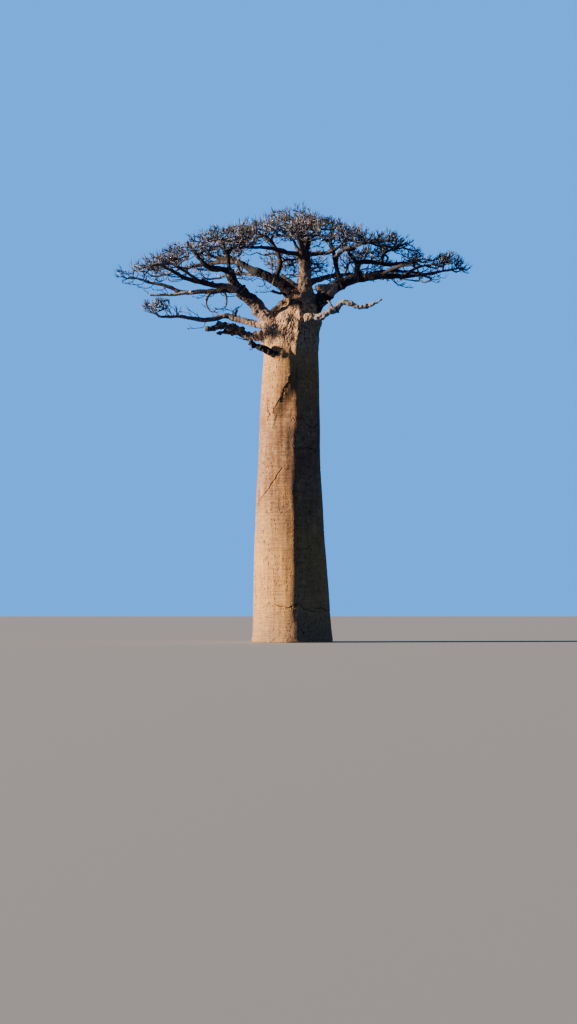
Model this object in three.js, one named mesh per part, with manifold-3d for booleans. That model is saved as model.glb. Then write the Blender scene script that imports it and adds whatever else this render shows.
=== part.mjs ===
// A tall baobab tree in its leafless dry season: a thick straight trunk, a fork of crooked boughs high up,
// and a flat crown of short stubby twigs. Lengths are written in metres and turned into millimetres here.
// +X is to the right, -Y is the front, and the origin is the centre of the flat cut at ground level.
import * as THREE from "three";
import { mergeVertices } from "three/addons/utils/BufferGeometryUtils.js";
import Module from "manifold-3d";

const METRE = 1000;
const GAP = 0.3; // millimetres kept between neighbouring solids

// Trunk
const TRUNK_FOOT_RADIUS = 2.22;
const TRUNK_NECK_RADIUS = 1.56;
const NECK_HEIGHT = 16.5; // up to here the trunk tapers evenly
const SHOULDER_HEIGHT = 18.2; // where the left boughs leave and the trunk starts to close in
const FORK_HEIGHT = 19.5; // where the head of the trunk divides into the middle boughs
const HEAD_RADIUS = 0.85;
const HEAD_SHIFT = 0.65; // the head stands to the right of the trunk's axis
const CAP_HEIGHT = 0.45; // the rounded top of the head
const CAP_EDGE = 0.7; // its edge, as a share of the head's radius and of the cap's height
const TRUNK_BOW = 0.19; // how far the middle of the trunk bows to the left
const FOOT_SHIFT = 0.05;
const ROOT_FLARE = 0.1;
const ROOT_FLARE_HEIGHT = 0.7;
const TRUNK_SIDES = 22;
const TRUNK_RINGS = 12;
const RING_CROWDING = 1.3; // above 1, the rings lie closer together towards the head
const TRUNK_LOBE = 0.018; // depth of the shallow lobes, as a share of the radius
const LOBES_ROUND = [3, 7]; // broad and narrow lobes round the trunk
const LOBE_TWISTS = [0.12, -0.2]; // their twist, in radians for each metre of height
const NARROW_LOBE = 0.6; // depth of a narrow lobe, as a share of a broad one

// Crown roof: its height over the ground falls from the middle to the rim
const CROWN_TOP = 25;
const ROOF_FALL = 0.29; // metres down for each metre out
const ROOF_CURL = 0.01; // and more towards the rim
const ROOF_BACK = 0.5; // behind the trunk a metre out counts as this much

// A bough leaves its foot, a place in metres or a share `at` of the bough that it grows `on`. It goes the way
// of its heading, in degrees from +X towards +Y, in legs of equal length that climb by so many degrees each.
// A taper above 1 thins it faster near its foot. It ends where it enters the mass of twigs that it goes `into`.
const BOUGHS = [
  { name: "left_bough", foot: [-1.0, -0.85, 17.85], heading: 198, climbs: [51, 58, 65, 32, 30],
    length: 4.2, thick: 0.98, thin: 0.5 },
  { name: "left_arm", on: "left_bough", at: 1, heading: 200, climbs: [10, 5, 38, 55, 45],
    length: 3.1, thick: 0.34, thin: 0.18, into: "left_arm_twigs" },
  { name: "left_riser", on: "left_bough", at: 1, heading: 254, climbs: [80, 30, 8, 0],
    length: 3.4, thick: 0.32, thin: 0.18, into: "front_left_twigs" },
  { name: "left_low_arm", on: "left_bough", at: 0.68, heading: 172, climbs: [2, -4, 0, 20, 12, 15],
    length: 6.6, thick: 0.38, thin: 0.12, into: "left_tip_twigs" },
  { name: "left_middle_arm", on: "left_bough", at: 0.76, heading: 195, climbs: [2, 4, 12, 26, 18],
    length: 5.0, thick: 0.34, thin: 0.15, into: "left_middle_twigs" },
  { name: "left_broken_limb", on: "left_low_arm", at: 0.42, heading: 188, climbs: [-10, -4, 0],
    length: 2.5, thick: 0.2, thin: 0.15 },
  { name: "lower_left_bough", foot: [-1.35, -0.75, 17.95], heading: 188, climbs: [15, 12, -10, 4, -3],
    length: 6.4, thick: 0.46, thin: 0.14, into: "lower_left_twigs" },
  { name: "dead_left_limb", foot: [-1.2, -0.75, 17.35], heading: 190, climbs: [10, 13, 20, -14],
    length: 4.0, thick: 0.46, thin: 0.22 },
  { name: "low_left_stub", foot: [-0.55, -1.3, 16.2], heading: 192, climbs: [10, 22, 24],
    length: 2.0, thick: 0.36, thin: 0.18 },
  { name: "centre_left_bough", foot: [0.5, 0, 19.3], heading: 168, climbs: [52, 32, 27, 30, 14, 28],
    length: 7.1, thick: 1.0, thin: 0.16, taper: 1.6, into: "left_top_twigs" },
  { name: "arch_riser", on: "centre_left_bough", at: 0.3, heading: 180, climbs: [112, 84, 66, 40],
    length: 3.0, thick: 0.34, thin: 0.2, into: "upper_left_twigs" },
  { name: "centre_column", foot: [0.82, -0.4, 19.1], heading: 180, climbs: [90, 86, 84],
    length: 3.1, thick: 0.94, thin: 0.64 },
  { name: "column_left_arm", on: "centre_column", at: 0.98, heading: 198, climbs: [2, 9, 2, 0],
    length: 3.6, thick: 0.3, thin: 0.15, into: "inner_left_twigs" },
  { name: "column_top_arm", on: "centre_column", at: 0.98, heading: 350, climbs: [75, 88],
    length: 1.5, thick: 0.36, thin: 0.22, into: "top_twigs" },
  { name: "column_right_arm", on: "centre_column", at: 0.97, heading: 352, climbs: [4, 7, 30],
    length: 2.4, thick: 0.3, thin: 0.17, into: "upper_right_twigs" },
  { name: "right_bough", foot: [0.95, -0.15, 18.95], heading: 352, climbs: [42, 36, 22, 4, -3, -2, 10, 8],
    length: 9.2, thick: 1.05, thin: 0.13, taper: 2.3, into: "right_tip_twigs" },
  { name: "right_riser", on: "right_bough", at: 0.26, heading: 180, climbs: [79, 79, 73],
    length: 2.6, thick: 0.34, thin: 0.2, into: "upper_right_twigs" },
  { name: "right_upper_arm", on: "right_bough", at: 0.37, heading: 10, climbs: [80, 5, -4, 8, -2],
    length: 4.4, thick: 0.34, thin: 0.14, into: "right_outer_twigs" },
  { name: "right_fork_arm", on: "right_bough", at: 0.65, heading: 345, climbs: [28, 8],
    length: 1.9, thick: 0.2, thin: 0.13, into: "right_outer_twigs" },
  { name: "right_high_arm", on: "right_upper_arm", at: 0.48, heading: 20, climbs: [60, 28, 26],
    length: 2.2, thick: 0.22, thin: 0.12, into: "right_high_twigs" },
  { name: "right_top_arm", on: "right_upper_arm", at: 0.17, heading: 160, climbs: [60, 52, 70],
    length: 1.6, thick: 0.26, thin: 0.16, into: "right_shoulder_twigs" },
  { name: "dead_right_limb", foot: [0.7, -1.15, 18.3], heading: 345, climbs: [0, 26, 32, -22, -4, 19],
    length: 4.75, thick: 0.34, thin: 0.12 },
  { name: "back_bough", foot: [0.4, 0.75, 18.3], heading: 92, climbs: [66, 54, 38, 32],
    length: 6.8, thick: 1.1, thin: 0.2, taper: 1.6, into: "back_twigs" },
  { name: "back_left_arm", on: "back_bough", at: 0.36, heading: 140, climbs: [34, 20, 12, 10],
    length: 5.8, thick: 0.46, thin: 0.18, into: "back_left_twigs" },
  { name: "back_right_arm", on: "back_bough", at: 0.4, heading: 45, climbs: [30, 20, 12, 8],
    length: 5.2, thick: 0.44, thin: 0.18, into: "back_right_twigs" },
  { name: "back_top_arm", on: "back_bough", at: 0.45, heading: 100, climbs: [75, 66, 50],
    length: 2.4, thick: 0.3, thin: 0.18, into: "top_back_twigs" },
  { name: "left_back_arm", on: "centre_left_bough", at: 0.64, heading: 152, climbs: [4, 2, -2, -4],
    length: 4.0, thick: 0.28, thin: 0.16, into: "left_back_twigs" },
  { name: "right_back_arm", on: "right_bough", at: 0.42, heading: 40, climbs: [24, 12, 6, 4],
    length: 4.4, thick: 0.3, thin: 0.15, into: "right_back_twigs" },
  { name: "front_arm", on: "centre_column", at: 0.94, heading: 264, climbs: [14, 2, -6, -10],
    length: 6.0, thick: 0.4, thin: 0.18, into: "front_twigs" },
  { name: "front_top_arm", on: "front_arm", at: 0.4, heading: 285, climbs: [62, 50],
    length: 1.2, thick: 0.24, thin: 0.16, into: "top_front_twigs" },
  { name: "front_right_arm", on: "right_riser", at: 0.6, heading: 295, climbs: [14, -2, -6, -6],
    length: 4.2, thick: 0.28, thin: 0.16, into: "front_right_twigs" },
  { name: "left_front_arm", on: "left_middle_arm", at: 0.45, heading: 245, climbs: [12, 6, 2],
    length: 2.6, thick: 0.22, thin: 0.14, into: "left_front_twigs" },
  { name: "right_front_arm", on: "right_bough", at: 0.52, heading: 302, climbs: [10, 0, -4],
    length: 3.6, thick: 0.24, thin: 0.14, into: "right_front_twigs" },
];
const THICK_BOUGH = 0.4; // from this thickness on, a bough has more sides
const THICK_SIDES = 8;
const THIN_SIDES = 6;
const LONGEST_STEP = 1; // between two rings of a bough
const COLLAR = 0.3; // a bough's foot is this share thicker where it leaves what carries it
const COLLAR_LENGTH = 0.12; // as a share of the bough

// A mass of twigs lies `at` so far to the right and to the back of the trunk's foot. Its top touches the
// crown's roof, or lies `drop` below it. Its half sizes are `long` the way of its heading, `wide` and `thick`.
const MASSES = [
  { name: "top_twigs", at: [0.7, -0.5], drop: -0.16, heading: 0, long: 1.8, wide: 1.6, thick: 0.85 },
  { name: "upper_left_twigs", at: [-2.0, 0.5], drop: 0.1, heading: 10, long: 1.7, wide: 1.9, thick: 0.75 },
  { name: "upper_right_twigs", at: [2.8, -0.2], drop: 0.3, heading: 0, long: 1.4, wide: 1.7, thick: 0.75 },
  { name: "left_top_twigs", at: [-4.2, 1.4], drop: 0.1, heading: 168, long: 1.7, wide: 1.9, thick: 0.7 },
  { name: "left_arm_twigs", at: [-5.9, -2.2], drop: 0.35, heading: 195, long: 1.5, wide: 1.4, thick: 0.65 },
  { name: "left_tip_twigs", at: [-8.6, -0.8], drop: 0.1, heading: 172, long: 1.55, wide: 1.3, thick: 0.6 },
  { name: "left_middle_twigs", at: [-7.6, -3.0], drop: 0.5, heading: 195, long: 1.3, wide: 1.0, thick: 0.55 },
  { name: "lower_left_twigs", at: [-7.2, -1.6], drop: 3.15, heading: 185, long: 1.2, wide: 0.8, thick: 0.42,
    slant: 0 },
  { name: "inner_left_twigs", at: [-3.0, -1.9], drop: 1.15, heading: 190, long: 1.1, wide: 1.0, thick: 0.45 },
  { name: "right_shoulder_twigs", at: [4.7, 0.3], drop: 0.25, heading: 0, long: 1.3, wide: 1.8, thick: 0.7 },
  { name: "right_high_twigs", at: [6.7, 0.6], drop: -0.6, heading: 20, long: 1.15, wide: 1.3, thick: 0.6 },
  { name: "right_outer_twigs", at: [7.5, -1.5], drop: 0.15, heading: 350, long: 1.1, wide: 1.1, thick: 0.48 },
  { name: "right_tip_twigs", at: [8.95, -1.3], drop: -0.3, heading: 352, long: 0.98, wide: 1.1, thick: 0.55 },
  { name: "front_left_twigs", at: [-3.6, -5.2], drop: 0.1, heading: 240, long: 1.9, wide: 1.85, thick: 0.7 },
  { name: "left_front_twigs", at: [-6.6, -5.2], drop: 0.55, heading: 215, long: 1.5, wide: 1.35, thick: 0.55 },
  { name: "front_twigs", at: [0.3, -6.8], drop: 0.05, heading: 0, long: 2.1, wide: 1.75, thick: 0.7 },
  { name: "front_right_twigs", at: [4.3, -5.2], drop: 0.15, heading: 310, long: 1.85, wide: 1.85, thick: 0.68 },
  { name: "right_front_twigs", at: [7.2, -4.3], drop: 0.5, heading: 330, long: 1.55, wide: 1.45, thick: 0.52 },
  { name: "top_front_twigs", at: [0.8, -3.6], drop: 0.15, heading: 0, long: 2.2, wide: 1.5, thick: 0.68 },
  { name: "top_back_twigs", at: [0.6, 3.0], drop: 0.2, heading: 0, long: 2.3, wide: 1.6, thick: 0.7 },
  { name: "back_twigs", at: [0.2, 6.4], drop: 0.16, heading: 90, long: 1.7, wide: 2.1, thick: 0.68 },
  { name: "back_left_twigs", at: [-4.3, 5.0], drop: 0, heading: 135, long: 1.9, wide: 1.9, thick: 0.66 },
  { name: "back_right_twigs", at: [4.6, 4.8], drop: 0, heading: 45, long: 1.9, wide: 1.9, thick: 0.66 },
  { name: "left_back_twigs", at: [-7.3, 2.7], drop: -0.15, heading: 160, long: 1.75, wide: 1.8, thick: 0.6 },
  { name: "right_back_twigs", at: [7.2, 3.3], drop: -0.2, heading: 22, long: 1.65, wide: 1.7, thick: 0.58 },
];
const MASS_DETAIL = 2; // how finely the sphere under each mass is divided
const SMALL_MASS = 1.35; // a shorter mass is divided once less
const MASS_UNEVEN = 0.13;
const MASS_SLANT = 0.28; // a mass tips outwards with the roof, by so much for each metre
const MASS_FLAT_BELOW = 0.8;
const WIDE_LUMPS = [3.1, 2.7]; // radians of swell over half the length and half the width of a mass
const SMALL_LUMPS = [5.3, 4.1];
const SMALL_LUMP = 0.6; // height of a small lump, as a share of a wide one
const LUMP_SHIFTS = [1, 1.7, 2.3]; // each mass shifts its lumps by its own number times these

const trunkBark = new THREE.MeshStandardMaterial({ color: 0xa98468, roughness: 0.9, metalness: 0 });
const boughBark = new THREE.MeshStandardMaterial({ color: 0x6b5b54, roughness: 0.9, metalness: 0 });
const twigs = new THREE.MeshStandardMaterial({ color: 0x5c5450, roughness: 0.95, metalness: 0 });

const wasm = await Module();
wasm.setup();

function toSolid(geometry) {
  geometry.deleteAttribute("normal");
  geometry.deleteAttribute("uv");
  const merged = mergeVertices(geometry, 1e-3);
  return new wasm.Manifold(new wasm.Mesh({
    numProp: 3,
    vertProperties: merged.getAttribute("position").array,
    triVerts: Uint32Array.from(merged.index.array),
  }));
}

function toMesh(name, solid, material) {
  const { vertProperties, triVerts } = solid.getMesh();
  const geometry = new THREE.BufferGeometry();
  geometry.setAttribute("position", new THREE.BufferAttribute(vertProperties, 3));
  geometry.setIndex(new THREE.BufferAttribute(triVerts, 1));
  geometry.computeVertexNormals();
  const mesh = new THREE.Mesh(geometry, material);
  mesh.name = name;
  return mesh;
}

function largestPiece(solid) {
  return solid.decompose().reduce((best, piece) => (piece.volume() > best.volume() ? piece : best));
}

// The direction of a climb and a heading, both in degrees.
function direction(climb, heading) {
  const up = THREE.MathUtils.degToRad(climb);
  const round = THREE.MathUtils.degToRad(heading);
  return new THREE.Vector3(Math.cos(up) * Math.cos(round), Math.cos(up) * Math.sin(round), Math.sin(up));
}

// Trunk: a lathed body whose rings are moved sideways along the bow and pushed out into shallow lobes.
function trunkRadius(height) {
  const taper = THREE.MathUtils.lerp(TRUNK_FOOT_RADIUS, TRUNK_NECK_RADIUS, Math.min(1, height / NECK_HEIGHT));
  const flare = ROOT_FLARE * Math.exp(-height / ROOT_FLARE_HEIGHT);
  const closing = THREE.MathUtils.smoothstep(height, SHOULDER_HEIGHT, FORK_HEIGHT);
  return THREE.MathUtils.lerp(taper + flare, HEAD_RADIUS, closing);
}

function trunkCentre(height) {
  const bow = FOOT_SHIFT - TRUNK_BOW * Math.sin((Math.PI * height) / FORK_HEIGHT);
  return bow + HEAD_SHIFT * THREE.MathUtils.smoothstep(height, SHOULDER_HEIGHT, FORK_HEIGHT);
}

function trunkSolid(grow = 0) {
  const profile = [new THREE.Vector2(0, -grow)];
  for (let ring = 0; ring <= TRUNK_RINGS; ring += 1) {
    const height = FORK_HEIGHT * (1 - (1 - ring / TRUNK_RINGS) ** RING_CROWDING);
    const below = ring === 0 ? grow : 0;
    profile.push(new THREE.Vector2(trunkRadius(height) * METRE + grow, height * METRE - below));
  }
  const capEdge = FORK_HEIGHT + CAP_HEIGHT * CAP_EDGE;
  profile.push(new THREE.Vector2(HEAD_RADIUS * CAP_EDGE * METRE, capEdge * METRE + grow));
  profile.push(new THREE.Vector2(0, (FORK_HEIGHT + CAP_HEIGHT) * METRE + grow));
  const geometry = new THREE.LatheGeometry(profile, TRUNK_SIDES);
  geometry.rotateX(Math.PI / 2);
  const position = geometry.getAttribute("position");
  const point = new THREE.Vector3();
  for (let i = 0; i < position.count; i += 1) {
    point.fromBufferAttribute(position, i);
    const round = Math.atan2(point.y, point.x);
    const height = point.z / METRE;
    const [broad, narrow] = LOBES_ROUND.map((count, n) => Math.sin(count * round + LOBE_TWISTS[n] * height));
    const lobe = 1 + TRUNK_LOBE * (broad + NARROW_LOBE * narrow);
    const centre = trunkCentre(Math.min(FORK_HEIGHT, Math.max(0, height))) * METRE;
    position.setXYZ(i, point.x * lobe + centre, point.y * lobe, point.z);
  }
  return toSolid(geometry);
}

// Boughs: a cylinder whose rings are laid along the bough's curve and scaled to its taper.
const curves = {};

function boughCurve(bough) {
  const start = bough.on
    ? curves[bough.on].getPointAt(bough.at)
    : new THREE.Vector3(...bough.foot).multiplyScalar(METRE);
  const points = [start];
  const leg = (bough.length * METRE) / bough.climbs.length;
  bough.climbs.forEach((climb, i) => {
    points.push(points[i].clone().addScaledVector(direction(climb, bough.heading), leg));
  });
  return new THREE.CatmullRomCurve3(points);
}

function boughSolid(bough, grow = 0) {
  const curve = curves[bough.name];
  const steps = Math.max(bough.climbs.length, Math.ceil(bough.length / LONGEST_STEP));
  const sides = bough.thick > THICK_BOUGH ? THICK_SIDES : THIN_SIDES;
  const frames = curve.computeFrenetFrames(steps);
  const geometry = new THREE.CylinderGeometry(1, 1, 1, sides, steps);
  const position = geometry.getAttribute("position");
  const point = new THREE.Vector3();
  for (let i = 0; i < position.count; i += 1) {
    point.fromBufferAttribute(position, i);
    const step = Math.round((point.y + 0.5) * steps);
    const share = step / steps;
    const collar = 1 + COLLAR * Math.max(0, 1 - share / COLLAR_LENGTH) ** 2;
    const thickness = THREE.MathUtils.lerp(bough.thin, bough.thick, (1 - share) ** (bough.taper ?? 1));
    const radius = thickness * 0.5 * METRE * collar + grow;
    const past = grow * (step === steps ? 1 : step === 0 ? -1 : 0);
    const place = curve.getPointAt(share)
      .addScaledVector(frames.tangents[step], past)
      .addScaledVector(frames.binormals[step], point.x * radius)
      .addScaledVector(frames.normals[step], point.z * radius);
    position.setXYZ(i, place.x, place.y, place.z);
  }
  return toSolid(geometry);
}

// Masses: a sphere made uneven, flattened into a pad and tipped with the crown's roof.
function roofHeight(x, y) {
  const out = Math.hypot(x, y > 0 ? y * ROOF_BACK : y);
  return CROWN_TOP - ROOF_FALL * out - ROOF_CURL * out * out;
}

function massSolid(mass, seed, grow = 0) {
  const [x, y] = mass.at;
  const centre = new THREE.Vector3(x, y, roofHeight(x, y) - mass.drop - mass.thick).multiplyScalar(METRE);
  const outward = new THREE.Vector2(x, y).normalize();
  const slant = mass.slant ?? MASS_SLANT;
  const turn = THREE.MathUtils.degToRad(mass.heading);
  const geometry = new THREE.IcosahedronGeometry(1, mass.long < SMALL_MASS ? MASS_DETAIL - 1 : MASS_DETAIL);
  const position = geometry.getAttribute("position");
  const point = new THREE.Vector3();
  const shifts = LUMP_SHIFTS.map((shift) => shift * seed);
  for (let i = 0; i < position.count; i += 1) {
    point.fromBufferAttribute(position, i);
    const wide = Math.sin(WIDE_LUMPS[0] * point.x + shifts[0]) * Math.sin(WIDE_LUMPS[1] * point.y + shifts[1]);
    const small = Math.sin(SMALL_LUMPS[0] * point.x + SMALL_LUMPS[1] * point.y + shifts[2]);
    const lump = wide + SMALL_LUMP * small;
    const size = (1 + MASS_UNEVEN * lump) * METRE;
    const below = point.z < 0 ? MASS_FLAT_BELOW : 1;
    const shape = new THREE.Vector3(
      point.x * (mass.long * size + grow),
      point.y * (mass.wide * size + grow),
      point.z * (mass.thick * size + grow) * below,
    ).applyAxisAngle(new THREE.Vector3(0, 0, 1), turn);
    shape.z -= slant * (shape.x * outward.x + shape.y * outward.y);
    shape.add(centre);
    position.setXYZ(i, shape.x, shape.y, shape.z);
  }
  return toSolid(geometry);
}

// Each bough stops at the trunk, at the boughs made before it and at its own mass. Each mass makes room for
// the masses made before it and for the boughs that pass through it.
const tree = new THREE.Group();
tree.add(toMesh("trunk", trunkSolid(), trunkBark));

const grownMasses = {};
const wholeMasses = {};
MASSES.forEach((mass, seed) => {
  grownMasses[mass.name] = massSolid(mass, seed, GAP);
  wholeMasses[mass.name] = massSolid(mass, seed);
});

const cutters = [trunkSolid(GAP)];
const grownBoughs = [];
for (const bough of BOUGHS) {
  curves[bough.name] = boughCurve(bough);
  let solid = boughSolid(bough);
  let grown = boughSolid(bough, GAP);
  for (const cutter of cutters) {
    solid = solid.subtract(cutter);
  }
  if (bough.into) {
    solid = solid.subtract(grownMasses[bough.into]);
    grown = grown.subtract(wholeMasses[bough.into]);
  }
  tree.add(toMesh(bough.name, largestPiece(solid), boughBark));
  cutters.push(boughSolid(bough, GAP));
  grownBoughs.push({ into: bough.into, solid: grown });
}

MASSES.forEach((mass, seed) => {
  let solid = wholeMasses[mass.name];
  for (const earlier of MASSES.slice(0, seed)) {
    solid = solid.subtract(grownMasses[earlier.name]);
  }
  for (const bough of grownBoughs.filter(({ into }) => into !== mass.name)) {
    solid = solid.subtract(bough.solid);
  }
  tree.add(toMesh(mass.name, largestPiece(solid), twigs));
});

export default tree;
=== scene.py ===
import math
import random

import bmesh
import bpy
import numpy as np
from mathutils import Matrix, Vector, bvhtree, kdtree, noise


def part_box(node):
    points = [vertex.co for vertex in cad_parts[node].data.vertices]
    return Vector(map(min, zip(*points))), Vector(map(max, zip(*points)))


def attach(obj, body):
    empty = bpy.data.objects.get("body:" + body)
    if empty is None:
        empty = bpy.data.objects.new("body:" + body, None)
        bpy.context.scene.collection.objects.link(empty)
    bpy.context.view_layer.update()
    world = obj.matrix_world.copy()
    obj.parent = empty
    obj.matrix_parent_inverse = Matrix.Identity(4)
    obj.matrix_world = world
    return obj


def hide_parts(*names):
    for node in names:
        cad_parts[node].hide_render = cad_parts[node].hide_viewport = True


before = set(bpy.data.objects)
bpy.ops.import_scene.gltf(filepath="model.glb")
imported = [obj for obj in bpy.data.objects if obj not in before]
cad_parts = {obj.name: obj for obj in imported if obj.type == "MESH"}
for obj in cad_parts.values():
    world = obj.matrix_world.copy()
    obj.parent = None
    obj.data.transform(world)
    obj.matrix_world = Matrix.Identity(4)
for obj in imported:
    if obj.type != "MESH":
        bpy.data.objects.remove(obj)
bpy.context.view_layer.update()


# Ground, sky and light
# The tree stands on a plain pale floor that runs to the horizon, under a plain pale sky.
# One broad warm light stands low on the left, as the sun does, and the sky fills the shade.
FLOOR_RADIUS = 900
FLOOR_SIDES = 96
FLOOR_COLOUR = (0.38, 0.385, 0.39, 1)
FLOOR_ROUGHNESS = 0.95
PLAIN_SHINE = 0.3
SKY_COLOUR = (0.05, 0.34, 1.0, 1)  # as the camera sees it
SKY_STRENGTH = 1.5
FILL_COLOUR = (0.2, 0.42, 1.0, 1)  # as it lights the tree
FILL_STRENGTH = 0.21
KEY_COLOUR = (1.0, 0.83, 0.64)
KEY_STRENGTH = 13.5
KEY_SPREAD = math.radians(3)
KEY_HEIGHT = math.radians(12)  # over the horizon
KEY_SIDE = math.radians(8.5)  # how far it stands in front of the tree, from the left


def add_node(tree, kind, **values):
    """A shader node of one kind, with its sockets linked or set by their names."""
    node = tree.nodes.new("ShaderNode" + kind)
    for name, value in values.items():
        socket = node.inputs[name]
        if isinstance(value, bpy.types.NodeSocket):
            tree.links.new(value, socket)
        else:
            socket.default_value = value
    return node


def new_material(name):
    """A new material with its nodes, and its shader."""
    material = bpy.data.materials.new(name)
    material.use_nodes = True
    return material, material.node_tree.nodes["Principled BSDF"]


def plain_material(name, colour, roughness):
    """A material of one colour on the shader's own sockets."""
    material, shader = new_material(name)
    shader.inputs["Base Color"].default_value = colour
    shader.inputs["Roughness"].default_value = roughness
    shader.inputs["Specular IOR Level"].default_value = PLAIN_SHINE
    material.diffuse_color = colour
    return material


def in_scene(name, data):
    """A new object of the scene."""
    thing = bpy.data.objects.new(name, data)
    bpy.context.scene.collection.objects.link(thing)
    return thing


floor_mesh = bmesh.new()
bmesh.ops.create_circle(floor_mesh, cap_ends=True, segments=FLOOR_SIDES, radius=FLOOR_RADIUS)
floor_data = bpy.data.meshes.new("floor")
floor_mesh.to_mesh(floor_data)
floor_mesh.free()
floor_data.materials.append(plain_material("pale floor", FLOOR_COLOUR, FLOOR_ROUGHNESS))
floor = in_scene("floor", floor_data)
floor.visible_diffuse = False  # it throws no light up, so the shade stays as cool as the sky

sky = bpy.data.worlds.new("pale sky")
sky.use_nodes = True
seen = sky.node_tree.nodes["Background"]
seen.inputs["Color"].default_value = SKY_COLOUR
seen.inputs["Strength"].default_value = SKY_STRENGTH
fill = add_node(sky.node_tree, "Background", Color=FILL_COLOUR, Strength=FILL_STRENGTH)
ray = add_node(sky.node_tree, "LightPath")
either = add_node(sky.node_tree, "MixShader", Fac=ray.outputs["Is Camera Ray"])
sky.node_tree.links.new(fill.outputs[0], either.inputs[1])
sky.node_tree.links.new(seen.outputs[0], either.inputs[2])
sky.node_tree.links.new(either.outputs[0], sky.node_tree.nodes["World Output"].inputs["Surface"])
bpy.context.scene.world = sky

key_data = bpy.data.lights.new("key light", "SUN")
key_data.color = KEY_COLOUR
key_data.energy = KEY_STRENGTH
key_data.angle = KEY_SPREAD
key = in_scene("key light", key_data)
key_from = Vector((
    -math.cos(KEY_HEIGHT) * math.cos(KEY_SIDE),
    -math.cos(KEY_HEIGHT) * math.sin(KEY_SIDE),
    math.sin(KEY_HEIGHT),
))
key.rotation_euler = key_from.to_track_quat("Z", "Y").to_euler()

# Camera
# It stands at eye height a long way in front of the tree, and looks up a little.
CAMERA_PLACE = (-0.17, -87.5, 1.6)
CAMERA_TILT = math.radians(3.785)
CAMERA_LENS = 54.07
CAMERA_REACH = 3000
camera_data = bpy.data.cameras.new("camera")
camera_data.lens = CAMERA_LENS
camera_data.clip_end = CAMERA_REACH
camera = in_scene("camera", camera_data)
camera.location = CAMERA_PLACE
camera.rotation_euler = (math.pi / 2 + CAMERA_TILT, 0, 0)
bpy.context.scene.camera = camera


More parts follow.
